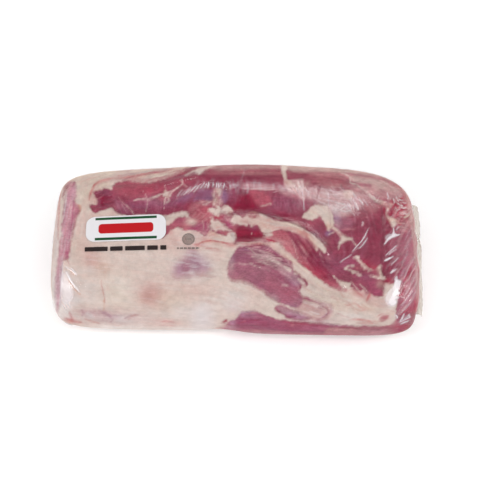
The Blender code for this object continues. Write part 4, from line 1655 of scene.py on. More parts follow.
roundHere = 1 - np.hypot(across / h["roundReach"][0], (height - h["roundHeight"]) / h["roundReach"][1])
roundHere = np.clip(h["roundSteep"] * roundHere, -h["roundMost"], h["roundMost"])
leanLikely = leanLikely * (1 - onCap) + onCap * roundHere
pattern = cloud(x / h["streakLong"], (height + across) / h["streakAcross"], 11, 4)
capPattern = cloud(across / h["capSpotSize"][0], height / h["capSpotSize"][1], 12, 3)
pattern = pattern * (1 - h["capQuiet"] * onCap) + h["capSpots"] * onCap * capPattern
ownEdge = h["steep"] * (leanLikely + h["streaks"] * pattern)
fadeNoise = cloud(x / h["fadeLong"], across / h["fadeAcross"], 14, 2)
fade = ease(hiddenBy.ravel() / (h["fade"] * (1 + h["fadeNoise"] * fadeNoise)))
edge = edge * (1 - fade) + ownEdge * fade
tint = cloud(x / h["tintLong"], (height + across) / h["tintAcross"], 21, 3)
fine = grain(x, height + across, h["fibreDegrees"], h["fibreLong"], h["fibreAcross"], 31)
ownLean = towards(tone("lean"), np.clip(tint, 0, 1), "rose")
ownLean = towards(ownLean, np.clip(-h["wineSteep"] * tint, 0, 1), "wine")
ownLean = towards(ownLean, h["fibres"] * np.clip(fine, 0, 1), "mauve")
ownFat = towards(tone("fat"), np.clip(tint, 0, 1), "blush")
ownFat = towards(ownFat, np.clip(-tint, 0, 1), "grey")
share = fade[:, None]
leanColour = underFilm(leanColour * (1 - share) + ownLean * share, veil, gain)
fatColour = underFilm(fatColour * (1 - share) + ownFat * share, veil, gain)


# Meshes

# Closed shell from a grid of rings and its two poles; faces point outwards
def shell(name, rings, poles):
    count, spokes = rings.shape[:2]
    index = np.arange(count * spokes).reshape(count, spokes)
    beside = np.roll(index, -1, 1)
    quads = np.stack([index[:-1], index[1:], beside[1:], beside[:-1]], -1).reshape(-1, 4)
    left, right = count * spokes, count * spokes + 1
    leftFan = np.stack([np.full(spokes, left), index[0], beside[0]], -1)
    rightFan = np.stack([np.full(spokes, right), beside[-1], index[-1]], -1)
    points = np.concatenate([rings.reshape(-1, 3), poles]) + np.array(loin["place"])
    return meshOf(name, points * mm, [quads, leftFan, rightFan])


# Quads of a sheet of points, so many columns by so many lines
def sheetQuads(columns, lines):
    k = np.arange(columns * lines).reshape(columns, lines)
    return np.stack([k[:-1, :-1], k[1:, :-1], k[1:, 1:], k[:-1, 1:]], -1).reshape(-1, 4)


# Mesh object from points in metres and arrays of faces
def meshOf(name, points, faces):
    mesh = bpy.data.meshes.new(name)
    mesh.from_pydata(points.tolist(), [], [f for group in faces for f in group.tolist()])
    mesh.update()
    mesh.polygons.foreach_set("use_smooth", np.ones(len(mesh.polygons), bool))
    thing = bpy.data.objects.new(name, mesh)
    bpy.context.scene.collection.objects.link(thing)
    return thing


# A colour, or a number, for each point of a mesh. Points past the values take the mean.
def store(thing, name, values):
    colours = values.ndim == 2
    kind = "FLOAT_COLOR" if colours else "FLOAT"
    layer = thing.data.attributes.new(name, kind, "POINT")
    short = len(thing.data.vertices) - len(values)
    values = np.concatenate([values, np.repeat(values.mean(0, keepdims=True), short, 0)])
    if colours:
        values = np.concatenate([values, np.ones((len(values), 1))], 1)
        layer.data.foreach_set("color", values.astype(np.float32).ravel())
    else:
        layer.data.foreach_set("value", values.astype(np.float32))


# A piece on the loin: it rides on the root and hides the parts of the model it stands for
def fit(piece, slotName, *nodes):
    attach(piece, "root")
    if nodes:
        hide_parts(*nodes)
    return piece


relief = dict(fatStep=0.22, stepWidth=2.0, crumb=0.16, crumbSize=3.2, offFloor=0.5)
leanShare = soft(edge, relief["stepWidth"])
crumb = cloud(x / relief["crumbSize"], s / relief["crumbSize"], 51, 3) * relief["crumb"]
meatLift = (outer + ribs + grooves).ravel() - filmGap - relief["fatStep"] * leanShare + crumb
meatLift = meatLift.reshape(crossAt.shape)
meatRings = bare + bareNormals * meatLift[..., None]
meatRings[..., 2] = np.maximum(meatRings[..., 2] - loin["baseCut"], relief["offFloor"])
meatPoles = np.array([meatRings[0].mean(0), meatRings[-1].mean(0)])
meat = shell("pork_meat", meatRings, meatPoles)
store(meat, "leanColour", leanColour)
store(meat, "fatColour", fatColour)
store(meat, "edge", edge)
fit(meat, "meat", "pork_loin")
print("meat: faces", len(meat.data.polygons))


# The film

# Creases: milkiness, width in pixels, height in millimetres, route. The milkiness whitens the
# creases: real folds, with highlights painted on them as white.
filmCreases = """
0.1 1.6 0.08 243,187.6 254,188.2 264,188.6 276,189
0.16 1.6 0.08 279,188.6 288,190 296,193
0 1.4 -0.18 210.5,180 211,184 210.5,190
0 1.4 -0.18 226,181 226,190
0 2.2 -0.22 240,182 240,192 239.5,204
0 2.4 -0.25 277,183 275.5,188 274,192
0 2 -0.2 320,184 319,190 317,197
0.26 1.2 0.18 177,196.5 180,192.5 183,189.6
0.22 1.2 0.18 180.6,196 183,193 186,190.4
0.3 1.5 0.18 185,193.5 188,190 191,187
0.28 1.6 0.18 190,191 194,188 198,185.4
0.26 1.3 0.18 195,190.4 198,188 201,184.6
0.32 1.4 0.2 200,188.8 202.6,185.5 205,182.4
0.4 1.3 0.2 204.4,188.4 206,185.4 207,182.6
0.55 1.4 0.2 207.6,188.4 208.6,185 208.8,181.8
0.45 1.3 0.2 212.6,187.6 213,184.6 213.4,182
0.4 1.4 0.22 215.8,188 216.4,184.6 216.8,182
0.4 1.2 0.22 218.4,188 218.5,184 218.5,182
0.38 1.3 0.2 220.5,188 221,184 221.5,182
0.45 1.6 0.2 223,188.6 224,185.5 224.8,183
0.2 4.6 0.14 229,186.4 234,185.6 238,185.6
0 1.6 0.16 239,165 240,174 240,182
0.1 1.4 0.14 241,181 243,175 246,168
0.4 1.2 0.16 247,184 247.6,189 247.4,193.6
0.4 1.3 0.25 300,184 301.5,189 303,197 303.8,204 304.5,211
0.3 1.4 0.2 294,184 296,188 299,193 301,198
0.3 1.8 0.15 305,189 308,192 309,196
0.22 1.6 0.2 328,192 328.5,200 329.4,208
0.4 1.3 0.18 351,197 353.6,202 356,208
0.45 1.1 0.2 358,199 361,202 363.4,205.4
0.3 1.2 0.15 363,199 366,203 368,206
0.4 1.3 0.18 347,203 349.6,207 351.6,211
0.35 1.2 0.15 343,203 346,207 348,211
0.3 1.2 0.15 352,192 355,196 358,200
0.35 1.2 0.15 354,203 356.6,207 358.6,210
0.4 1.2 0.3 339.6,263 344,259.4 348,257 351.6,254.4
0.2 1.2 0.18 352,253 357,248.4 361,246.6
0.35 1.3 0.15 362,226 363,222 364,221
0.4 1.2 0.2 396,230.6 397.6,227.6 399,226
0.45 1 0.2 390.6,265.4 394,262 398,257.6
0.65 1 0.2 397.4,245 392.6,249 388,253.4 385.4,255.4
0.45 0.9 0.2 396.6,249 392,252 388.4,255
0.5 1.3 0.22 387,192 388,196 388.5,199.4
0.12 1.8 0.4 402,264 405,257 408,250
0.2 1.4 0.4 404,278 406,273 410,265 415,256
0.2 1.4 0.4 406,286 409,280 412,272 417,264
0.2 1.4 0.45 406,294 409,289 413,281 418,272
0.22 1.6 0.45 402,306 408,298 413,290 417,282
0.22 1.6 0.45 401,313 407,306 412,299 416,291
0.35 1.4 0.35 401,321 405,318 410,314
0.14 1.6 0.3 405,240 409,232 412,226
0.14 1.6 0.3 404,250 409,241 413,234
0.9 1 0.2 399,322.4 403.6,320 410,316.4
0.9 1 0.2 395,314.6 397,316.6 397.6,319
0.85 1 0.2 404,314 402.6,317 400,321
0.8 1.1 0.2 408,314.5 410,317
0.8 1 0.2 400,324.6 404,322.6 409,321
0.75 1.6 0.4 66,271 69,277 73,284 77,289 80,293
0.75 1.5 0.35 71,268 74,271.5 77,275
0.6 1.4 0.25 65,266 68,268 71,270
0.5 1.2 0.2 62,299 65,304 68,309
0.5 1.2 0.2 65,300 68,304 71,308
0.45 1.2 0.2 62,304 64,307 66,310
0.35 1.6 0.25 63,262 62,275 61,290 60,305
0.3 2.6 0.4 60,322 66,324 72,325
"""

# Milky areas: milkiness, border in pixels, outline. Most are painted highlights and sheen: the
# white sheens at the left and right front corners, the glints on the right end, and a faint
# white over the band under the top outline and over the sheen at the top right.
filmPatches = """
0.05 4 241,183.5 262,183.5 277,184.5 276,190.4 262,190 241,189.4
0.06 4 279,184 287,186 292,190 296,194 290,193.6 279,190.6
0.05 7 178,196 190,187 206,182.5 214,183 206,189 192,192.4 182,197
0.05 8 306,188 326,188 345,190 360,196 366,206 352,213 340,217 328,212 322,204 306,200
0.05 10 345,172 370,174 392,184 402,198 388,200 368,196 350,188
0.42 5 63,272 67,276 71,286 73,295 70,302 66,303 62,298 61,285
0.44 2 395.6,279 397.4,281 401,280.4 400,284 398.6,289 400,293.2 397,295.2 395,297 399.6,297
    397.6,299.4 397,303 395,305.6 391,306 387,304 385,301 385.6,297 387.6,292.4 391.6,288 394.4,284
0.6 1 396,280 401,281 400,286 398.4,291 399.8,293.4 396.6,295.4 399.4,297.4 395,299 396.4,302.6 393,305
    388.6,303.4 389.6,299.6 391.6,296 393.6,290 394,285
0.35 1.6 386,235.6 390,233.6 394,234 396,235 394,237 391,238.6 387,240 385,238.4
0.7 0.9 400,234.6 397,236.2 393,237.4 389,240 383.8,245.4 386,240.4 389,237 392,234.6 393.2,230 394,225
    394.4,230.4 395.6,233.6
0.8 1 393.2,256.6 388.6,259.8 384,261.4 387,258.4
0.65 1 396.4,269 393,272.4 390.4,273 392.4,270
0.5 1 397.2,276 398,280.6 395.6,282.4 394.6,278
0.6 0.8 369,227 367.2,232 364.6,237.6 361,242.6 356.6,247 351.6,251.6 356,246.6 360.2,242 363.6,236.6
    366.8,231
0.4 0.9 368,236.6 366,241.6 362.4,246.4 358,249.4 362,244.4 365,240
0.04 8 398,236 410,230 418,250 420,290 416,318 402,326 398,310 402,285 398,262
0.14 8 194,305 212,305 214,330 192,330
"""

# Fine folds: milkiness, height, run in degrees, length, width, then place and reach. Each takes
# its noise by its number in the table. The milkiness paints white on the crests of these real folds
# as highlights.
filmGrain = """
0.15 0.26 -62 13 1.15 404,285 11,42
0.19 0.32 -45 4.5 1.1 399,212 13,18
0.12 0.18 -44 8 1.2 393,250 10,28
0.16 0.14 58 9 1.7 66,290 8,26
0.2 0.1 84 9 1.7 230,186 50,6
0.16 0.14 58 10 1.8 335,200 28,16
0 0.05 24 22 7 240,250 260,110
0.14 0.2 -30 6 1.2 406,320 12,10
0.18 0.12 -52 6 1.2 192,190.5 22,3.6 -24,0
"""

# Where wet meat clings to the film it mirrors less: amount, place and reach
filmDull = """
0.9 262,210.5 40,5 9,0
0.9 403.5,291 5,9
0.7 408,282 6,9
0.6 402,270 4,8
0.6 406,299 6,8
0.8 388,222 4,7
0.5 384,262 5,3
0.85 65,283 5,9
0.9 201,180 12,4 -15,0
0.9 240.4,186 1.4,5
0.5 226,184.6 1,3.4
0.8 210,185.6 1.2,5
0.7 232.6,185.6 0.9,4
0.8 275.6,187.4 1.3,5 20,0
0.6 319,190 1.3,7 12,0
"""

filmSkin = dict(clear=0.12, rounds=130, ribs=0.6, grooves=0.3, fade=12, milkBorder=1.4, mostMilk=0.95,
                grainSteep=3, grainStart=0.4)
# The ends are creased all round and the back a little, also where the photograph doesn't reach
endFolds = dict(start=122, over=16, middle=41, roundSpan=90, degrees=90, long=26, wide=1.6, height=0.5,
                milk=0.22, steep=2.5)
backFolds = dict(degrees=62, long=26, wide=5.0, height=0.16, milk=0.05, steep=2)
filmU, filmV, filmHidden = picturePlace(bare + bareNormals * (outer + ribs)[..., None], bareNormals)
fu, fv = filmU.ravel(), filmV.ravel()
filmFade = 1 - ease(filmHidden.ravel() / filmSkin["fade"])
crease = np.zeros(fu.size)
milk = np.zeros(fu.size)
for white, width, rise, *route in rows(filmCreases):
    white, width, rise = float(white), float(width), float(rise)
    line = stroke(fu, fv, " ".join(route), width)
    crease += rise * soft(line, width)
    milk = np.maximum(milk, white * soft(line, filmSkin["milkBorder"]))
for white, border, *route in rows(filmPatches):
    milk = milk + float(white) * soft(patch(fu, fv, " ".join(route)), float(border)) * (1 - milk)
for k, (white, rise, degrees, long, wide, *place) in enumerate(rows(filmGrain)):
    where = spot(fu, fv, " ".join(place))
    n = grain(fu, fv, float(degrees), float(long), float(wide), 200 + k)
    crease += float(rise) * where * n
    whiteHere = np.clip(filmSkin["grainSteep"] * n - filmSkin["grainStart"], 0, 1)
    milk = milk + float(white) * where * whiteHere * (1 - milk)
dull = np.zeros(fu.size)
for amount, *place in rows(filmDull):
    dull = np.maximum(dull, float(amount) * spot(fu, fv, " ".join(place)))
crease *= filmFade
milk *= filmFade
f = endFolds
atEnd = ease((np.abs(x) - f["start"]) / f["over"]) * (1 - filmFade)
endWave = grain(around.ravel() * f["roundSpan"], np.hypot(across, height - f["middle"]),
                f["degrees"], f["long"], f["wide"], 61)
crease += atEnd * f["height"] * endWave
milk = milk + atEnd * f["milk"] * np.clip(f["steep"] * endWave, 0, 1)
f = backFolds
backWave = grain(x, s, f["degrees"], f["long"], f["wide"], 62) * (1 - filmFade) * (1 - atEnd)
crease += f["height"] * backWave
milk += f["milk"] * np.clip(f["steep"] * backWave, 0, 1)


# The film is drawn tight over the meat: each round averages a point with its neighbours and
# keeps it just clear of the meat, so it spans the grooves and runs smoothly over the ribs
def drawnTight(lift, floorLift, rounds):
    for _ in range(rounds):
        beside = np.concatenate([lift[:1], lift, lift[-1:]])
        lift = 0.2 * (lift + beside[:-2] + beside[2:] + np.roll(lift, 1, 1) + np.roll(lift, -1, 1))
        lift = np.maximum(lift, floorLift)
    return lift


floorLift = meatLift + filmSkin["clear"]
filmLift = drawnTight(outer + filmSkin["ribs"] * ribs + filmSkin["grooves"] * grooves, floorLift,
                      filmSkin["rounds"])
filmLift = np.maximum(filmLift + crease.reshape(filmLift.shape), floorLift)
filmRings = bare + bareNormals * filmLift[..., None]
filmRings[..., 2] = np.maximum(filmRings[..., 2] - loin["baseCut"], 0.0)
filmPoles = np.array([filmRings[0].mean(0), filmRings[-1].mean(0)])
film = shell("clear_film", filmRings, filmPoles)
store(film, "milk", np.clip(milk, 0, filmSkin["mostMilk"]))
store(film, "dull", dull * filmFade)
fit(film, "film", "pork_loin")
print("film: faces", len(film.data.polygons))


# The gathered tail of the bag across the right end

tailSize = dict(
    backY=29.0, frontY=-56.0, backZ=50.0, frontZ=28.0, reach=5.3, drop=6.0, endSize=0.8,
    wave=1.0, waves=5, waveShift=0.5,
    ripple=0.28, ripples=5, bend=2, bends=7, fine=0.35, fineTurns=2.7, sway=0.5, swing=0.4,
    gap=0.25, gapSteep=6, sink=0.2, columns=220, lines=14, thickness=0.35,
    faceRings=40, closest=6,         # rings of the film and points of them that tell where its face is
)


# Ribbon that leaves the end face, turns down by drop * w^2 and ripples along its free edge
def tailRibbon():
    t = tailSize
    share, w = np.meshgrid(np.linspace(0, 1, t["columns"]), np.linspace(0, 1, t["lines"]), indexing="ij")
    y = t["backY"] + (t["frontY"] - t["backY"]) * share
    z = t["backZ"] + (t["frontZ"] - t["backZ"]) * share
    z = z + t["wave"] * np.sin(t["waves"] * share + t["waveShift"])
    size = t["endSize"] + (1 - t["endSize"]) * np.sqrt(np.sin(math.pi * share))
    turns = 2 * math.pi * t["ripples"] * share + t["bend"] * np.sin(t["bends"] * share)
    ripple = t["ripple"] * (np.sin(turns) + t["fine"] * np.sin(t["fineTurns"] * turns + 1))
    y = y + t["sway"] * ripple * w
    z = z - t["drop"] * size * w ** 2 + ripple * w
    end = filmRings[-t["faceRings"]:].reshape(-1, 3)
    face = np.empty(y.size)
    for part in np.array_split(np.arange(y.size), 12):
        away = (end[:, 1] - y.ravel()[part][:, None]) ** 2 + (end[:, 2] - z.ravel()[part][:, None]) ** 2
        closest = np.argpartition(away, t["closest"], 1)[:, :t["closest"]]
        face[part] = end[closest, 0].max(1)
    face = face.reshape(y.shape)
    foot = face[:, :1] - t["sink"]
    out = foot + t["reach"] * size * np.sin(0.5 * math.pi * w) + t["swing"] * ripple * w
    clear = (t["gap"] + t["sink"]) * ease(t["gapSteep"] * w) - t["sink"]
    return np.stack([np.maximum(out, face + clear), y, z], -1)


ribbon = tailRibbon()
tailQuads = sheetQuads(*ribbon.shape[:2])[:, [0, 3, 2, 1]]      # facing the other way
tail = meshOf("film_tail", (ribbon.reshape(-1, 3) + np.array(loin["place"])) * mm, [tailQuads])
wall = tail.modifiers.new("film", "SOLIDIFY")
wall.thickness = tailSize["thickness"] * mm
wall.offset = 0
fit(tail, "film", "bag_tail")
print("tail: faces", len(tail.data.polygons))


# The print: a plain label, a row of short bars and a ring, in millimetres along the film

label = dict(centre=(-83.7, 78.4), size=(62.0, 22.5), turn=1.7, grid=(120, 46), inset=0.4, corner=7.0,
             stripe=2.2, stripeInset=2.2, bar=(42.0, 8.2), barCorner=2.6,
             white=(0.71, 0.69, 0.71, 1), green=(0.005, 0.06, 0.018, 1), red=(0.46, 0.004, 0.008, 1))
words = dict(centre=(-84.0, 61.3), size=(63.0, 5.4), turn=1.3, grid=(120, 12), margin=0.8,
             lengths=(17.5, 9.5, 15.0, 8.0, 6.0), space=1.9, height=3.6, corner=0.5, blur=0.2,
             dark=(0.018, 0.010, 0.010, 1), cover=0.92)
ring = dict(centre=(-35.8, 68.7), size=(19.0, 19.0), turn=0.0, grid=(36, 36), radius=4.3, line=1.1,
            blur=0.25, bar=(4.8, 2.0), dots=(17.2, 1.3), dotsDown=7.4, dotTurns=2.1, dotCut=(-0.9, -0.7),
            fineBlur=0.2, brown=(0.20, 0.155, 0.14, 1),
            lineCover=0.65, discCover=0.45, barCover=0.6, dotCover=0.8)


# Flat patch laid on the film: a grid in the patch's own millimetres, looked up on the film's
# grid between its four nearest points, and lifted a little
def laid(name, f, lift=0.12):
    a, b = np.meshgrid(*(np.linspace(-f["size"][k] / 2, f["size"][k] / 2, f["grid"][k]) for k in (0, 1)),
                       indexing="ij")
    c, sn = math.cos(math.radians(f["turn"])), math.sin(math.radians(f["turn"]))
    px, ps = f["centre"][0] + a * c - b * sn, f["centre"][1] + a * sn + b * c
    spoke = int(np.abs(girthHere[0] - f["centre"][1]).argmin())
    order = np.argsort(girthHere[0])
    i = np.interp(px, bare[:, spoke, 0], np.arange(grid["rings"]))
    j = np.interp(ps, girthHere[0][order], np.unwrap(order.astype(float), period=grid["spokes"]))
    lifted = filmRings + normalsOf(filmRings) * lift
    ring0, spoke0 = np.floor(i).astype(int), np.floor(j).astype(int)
    t, r = (i - ring0)[..., None], (j - spoke0)[..., None]
    near0, near1 = (lifted[ring0 + step, spoke0 % grid["spokes"]] for step in (0, 1))
    far0, far1 = (lifted[ring0 + step, (spoke0 + 1) % grid["spokes"]] for step in (0, 1))
    points = near0 * (1 - t) * (1 - r) + near1 * t * (1 - r) + far0 * (1 - t) * r + far1 * t * r
    piece = meshOf(name, (points.reshape(-1, 3) + np.array(loin["place"])) * mm, [sheetQuads(*f["grid"])])
    layer = piece.data.uv_layers.new(name="print")
    corners = np.empty(len(piece.data.loops), np.int32)
    piece.data.loops.foreach_get("vertex_index", corners)
    flat = np.stack([a.ravel(), b.ravel()], -1)[corners]
    layer.data.foreach_set("uv", flat.astype(np.float32).ravel())
    return piece


labelPiece = laid("print_label", label)
wordPiece = laid("print_bars", words)
ringPiece = laid("print_ring", ring)
for piece in (labelPiece, wordPiece, ringPiece):
    fit(piece, "film", "pork_loin")
print("print: laid")


# Materials

# A socket in a node tree. Arithmetic on it adds Math nodes; node() adds any other node.
class Wire:
    def __init__(self, tree, socket=None):
        self.tree, self.socket = tree, socket

    def node(self, kind, settings=None, inputs=None, out=0):
        n = self.tree.nodes.new(kind)
        for key, value in (settings or {}).items():
            if key == "stops":
                while len(n.color_ramp.elements) < len(value):
                    n.color_ramp.elements.new(0.5)
                for element, (at, colour) in zip(n.color_ramp.elements, value):
                    element.position, element.color = at, colour
            else:
                setattr(n, key, value)
        for key, value in (inputs or {}).items():
            if isinstance(value, Wire):
                self.tree.links.new(value.socket, n.inputs[key])
            else:
                n.inputs[key].default_value = value
        return Wire(self.tree, n.outputs[out])

    def math(self, operation, *values, clamp=False):
        settings = dict(operation=operation, use_clamp=clamp)
        return self.node("ShaderNodeMath", settings, dict(enumerate(values)))

    def __add__(self, other): return self.math("ADD", self, other)
    def __radd__(self, other): return self.math("ADD", other, self)
    def __sub__(self, other): return self.math("SUBTRACT", self, other)
    def __rsub__(self, other): return self.math("SUBTRACT", other, self)
    def __mul__(self, other): return self.math("MULTIPLY", self, other)
    def __rmul__(self, other): return self.math("MULTIPLY", other, self)
    def __truediv__(self, other): return self.math("DIVIDE", self, other)


def largest(a, b): return a.math("MAXIMUM", a, b)
def size(a): return a.math("ABSOLUTE", a)


# 0 below low, 1 above high, smooth between
def ramp(value, low, high):
    return value.node("ShaderNodeMapRange", dict(interpolation_type="SMOOTHSTEP"),
                      {"Value": value, "From Min": low, "From Max": high, "To Min": 0.0, "To Max": 1.0})


# Colour a where the factor is 0, b where it is 1
def mixColour(factor, a, b):
    return factor.node("ShaderNodeMix", dict(data_type="RGBA"), {0: factor, 6: a, 7: b}, out=2)


# A colour made brighter or darker by a number
def scaled(colour, value):
    return colour.node("ShaderNodeVectorMath", dict(operation="SCALE"), {0: colour, 3: value})


# A material with no nodes yet, and a wire to start from
def material(name):
    m = bpy.data.materials.new(name)
    m.use_nodes = True
    m.node_tree.nodes.clear()
    return m, Wire(m.node_tree)


# The shader becomes the surface of the material, and the pieces wear it
def finishMaterial(m, shader, pieces):
    out = m.node_tree.nodes.new("ShaderNodeOutputMaterial")
    m.node_tree.links.new(shader.socket, out.inputs["Surface"])
    for piece in pieces:
        piece.data.materials.append(m)


# A tone as the colour of the meat itself, for a node
def linear(name):
    colour = underFilm(tone(name), light["plainVeil"], light["plainGain"])
    return (*(float(c) for c in colour), 1.0)


# Nodes that many materials use
def noise(w, place, scale, detail=3.0, roughness=0.5):
    return w.node("ShaderNodeTexNoise", {}, {"Vector": place, "Scale": scale, "Detail": detail,
                                            "Roughness": roughness})


# Noise whose grains are longer where its scale along x, y or z is lower
def stretchedNoise(w, place, scale, detail, roughness):
    squeezed = w.node("ShaderNodeMapping", dict(vector_type="TEXTURE"),
                      {"Vector": place, "Scale": tuple(1 / c for c in scale)})
    return noise(w, squeezed, 1.0, detail, roughness)


# Noise as a change of brightness either way, up to half the amount
def shade(value, amount, low=0.3, high=0.7):
    return (ramp(value, low, high) - 0.5) * amount


# A value that the mesh holds: out 0 is a colour, out 2 a number
def stored(w, name, out):
    return w.node("ShaderNodeAttribute", dict(attribute_name=name), out=out)


def objectPlace(w):
    return w.node("ShaderNodeTexCoord", out=3)


def bump(w, strength, distance, height):
    return w.node("ShaderNodeBump", {}, {"Strength": strength, "Distance": distance, "Height": height})


def principled(w, inputs):
    return w.node("ShaderNodeBsdfPrincipled", {}, inputs)


def transparent(w):
    return w.node("ShaderNodeBsdfTransparent")


def mixShader(w, factor, a, b):
    return w.node("ShaderNodeMixShader", {}, {0: factor, 1: a, 2: b})


# Meat: the drawn fat and lean meet at a crisp, slightly ragged border, with fine fibres
# in the lean, small fat flecks, and a soft wet surface. Noise scales are per metre.
meatLook = dict(
    borderWidth=1.5, ragged=1.1, raggedScale=420.0,
    fibre=0.14, fibreScale=(90.0, 620.0, 620.0), mottle=0.26, mottleScale=150.0,
    fine=0.20, fineScale=(600.0, 1150.0, 1150.0),
    fleck=0.12, fleckScale=(260.0, 700.0, 700.0), fleckCut=(0.66, 0.72),
    fatMottle=0.16, fatFine=0.07, weave=((300.0, 1300.0, 1300.0), (1300.0, 300.0, 1300.0)),
    weaveRange=(0.7, 1.3), stain=0.16, stainScale=240.0, stainCut=(0.55, 0.75),
    bump=(0.35, 0.0006), bumpShares=(0.5, 0.8, 0.4, 0.25),     # fibre, mottle, ragged, less the lean
    rough=0.5, roughMottle=0.15, specular=0.10,
)
m, w = material("raw pork")
f = meatLook
place = objectPlace(w)
raggedNoise = noise(w, place, f["raggedScale"], 3.0, 0.6)
border = stored(w, "edge", 2) + (raggedNoise - 0.5) * (2 * f["ragged"])
isLean = ramp(border, -f["borderWidth"], f["borderWidth"])
fibreNoise = stretchedNoise(w, place, f["fibreScale"], 4.0, 0.6)
mottleNoise = noise(w, place, f["mottleScale"], 4.0, 0.6)
fineNoise = stretchedNoise(w, place, f["fineScale"], 2.0, 0.6)
leanShade = shade(fibreNoise, f["fibre"]) + shade(mottleNoise, f["mottle"]) + shade(fineNoise, f["fine"])
leanShaded = scaled(stored(w, "leanColour", 0), 1 + leanShade)
fleckNoise = stretchedNoise(w, place, f["fleckScale"], 2.0, 0.5)
leanFlecked = mixColour(ramp(fleckNoise, *f["fleckCut"]) * f["fleck"], leanShaded, linear("silver"))
weave = (stretchedNoise(w, place, f["weave"][0], 1.0, 0.6)
         + stretchedNoise(w, place, f["weave"][1], 1.0, 0.6))
fatShade = shade(mottleNoise, f["fatMottle"]) + shade(weave, f["fatFine"], *f["weaveRange"])
fatShaded = scaled(stored(w, "fatColour", 0), 1 + fatShade)
stains = ramp(noise(w, place, f["stainScale"], 3.0), *f["stainCut"]) * f["stain"]
fatStained = mixColour(stains, fatShaded, linear("stain"))
parts = [n * share for n, share in zip((fibreNoise, mottleNoise, raggedNoise, isLean), f["bumpShares"])]
shader = principled(w, {
    "Base Color": mixColour(isLean, fatStained, leanFlecked),
    "Roughness": f["rough"] + mottleNoise * f["roughMottle"], "Specular IOR Level": f["specular"],
    "Normal": bump(w, *f["bump"], parts[0] + parts[1] + parts[2] - parts[3])})
finishMaterial(m, shader, [meat])

# Film: clear, with a mirror skin that strengthens where it turns away, and milky folds; the milky
# white also carries painted highlights.
filmLook = dict(roughness=0.13, rippleScale=(150.0, 260.0, 260.0), bump=(0.30, 0.0005),
                milk=(0.86, 0.82, 0.86, 1), milkRoughness=0.35)
m, w = material("clear film")
f = filmLook
filmBump = bump(w, *f["bump"], stretchedNoise(w, objectPlace(w), f["rippleScale"], 3.0, 0.55))
milky = principled(w, {"Base Color": f["milk"], "Roughness": f["milkRoughness"], "Normal": filmBump})
gloss = w.node("ShaderNodeBsdfGlossy", {}, {"Color": (1, 1, 1, 1), "Roughness": f["roughness"],
                                           "Normal": filmBump})
body = mixShader(w, stored(w, "milk", 2), transparent(w), milky)
facingAway = w.node("ShaderNodeLayerWeight", {}, {"Blend": 0.5, "Normal": filmBump}, out=1)
grazing = w.math("POWER", facingAway, filmShine["power"])
mirror = filmShine["straight"] + (filmShine["grazing"] - filmShine["straight"]) * grazing
finishMaterial(m, mixShader(w, mirror * (1 - stored(w, "dull", 2)), body, gloss), [film])
film.visible_shadow = False      # clear, so its marks throw no shade on the meat

# Tail: the same film in several layers, so cloudy, with paler folds
tailLook = dict(foldScale=(420.0, 30.0, 300.0), bump=(0.4, 0.0006), foldCut=(0.4, 0.7),
                dark=(0.66, 0.57, 0.48, 1), pale=(0.80, 0.73, 0.65, 1), roughness=0.35,
                cloudy=0.45, foldCloudy=0.2, cloudyCut=(0.35, 0.75))
m, w = material("gathered film")
f = tailLook
foldNoise = stretchedNoise(w, objectPlace(w), f["foldScale"], 3.0, 0.55)
cloudy = principled(w, {
    "Base Color": mixColour(ramp(foldNoise, *f["foldCut"]), f["dark"], f["pale"]),
    "Roughness": f["roughness"], "Normal": bump(w, *f["bump"], foldNoise)})
thick = f["cloudy"] + ramp(foldNoise, *f["cloudyCut"]) * f["foldCloudy"]
finishMaterial(m, mixShader(w, thick, transparent(w), cloudy), [tail])


# Signed distance to a box with rounded corners, in the print's own millimetres
def roundedBox(w, a, b, half, corner):
    da = largest(size(a) - (half[0] - corner), 0.0)
    db = largest(size(b) - (half[1] - corner), 0.0)
    return w.math("SQRT", da * da + db * db) - corner


# Share of ink where a signed distance is under zero, with a fine soft border
def inked(distance, blur=0.12):
    return 1 - ramp(distance, -blur, blur)


# Share of ink in a bar of a length and height, the middle of it up or down by so much
def inkedBar(a, b, bar, blur, up=0.0):
    return inked(size(b - up) - bar[1] / 2, blur) * inked(size(a) - bar[0] / 2, blur)


inkRoughness = 0.28


# Ink on the film: draw gives its colour and its cover for a place in the print's millimetres
def inkMaterial(name, piece, draw):
    m, w = material(name)
    both = w.node("ShaderNodeSeparateXYZ", {}, {0: w.node("ShaderNodeUVMap", dict(uv_map="print"))})
    a, b = (Wire(m.node_tree, both.socket.node.outputs[k]) for k in (0, 1))
    colour, cover = draw(w, a, b)
    ink = principled(w, {"Base Color": colour, "Roughness": inkRoughness})
    finishMaterial(m, mixShader(w, cover, transparent(w), ink), [piece])


# White panel with a green stripe near its top and bottom, and a red bar in the middle
def drawLabel(w, a, b):
    f = label
    half = (f["size"][0] / 2 - f["inset"], f["size"][1] / 2 - f["inset"])
    field = roundedBox(w, a, b, half, f["corner"])
    stripe = size(size(b) - (half[1] - f["stripeInset"])) - f["stripe"] / 2
    stripe = largest(stripe, size(a) - (half[0] - f["corner"]))
    bar = roundedBox(w, a, b, (f["bar"][0] / 2, f["bar"][1] / 2), f["barCorner"])
    striped = mixColour(inked(stripe), f["white"], f["green"])
    return mixColour(inked(bar), striped, f["red"]), inked(field)


# Row of dark bars with even gaps
def drawWords(w, a, b):
    f = words
    start, cover = -f["size"][0] / 2 + f["margin"], None
    for length in f["lengths"]:
        half = (length / 2, f["height"] / 2)
        bar = inked(roundedBox(w, a - (start + length / 2), b, half, f["corner"]), f["blur"])
        cover = bar if cover is None else largest(cover, bar)
        start += length + f["space"]
    return f["dark"], cover * f["cover"]


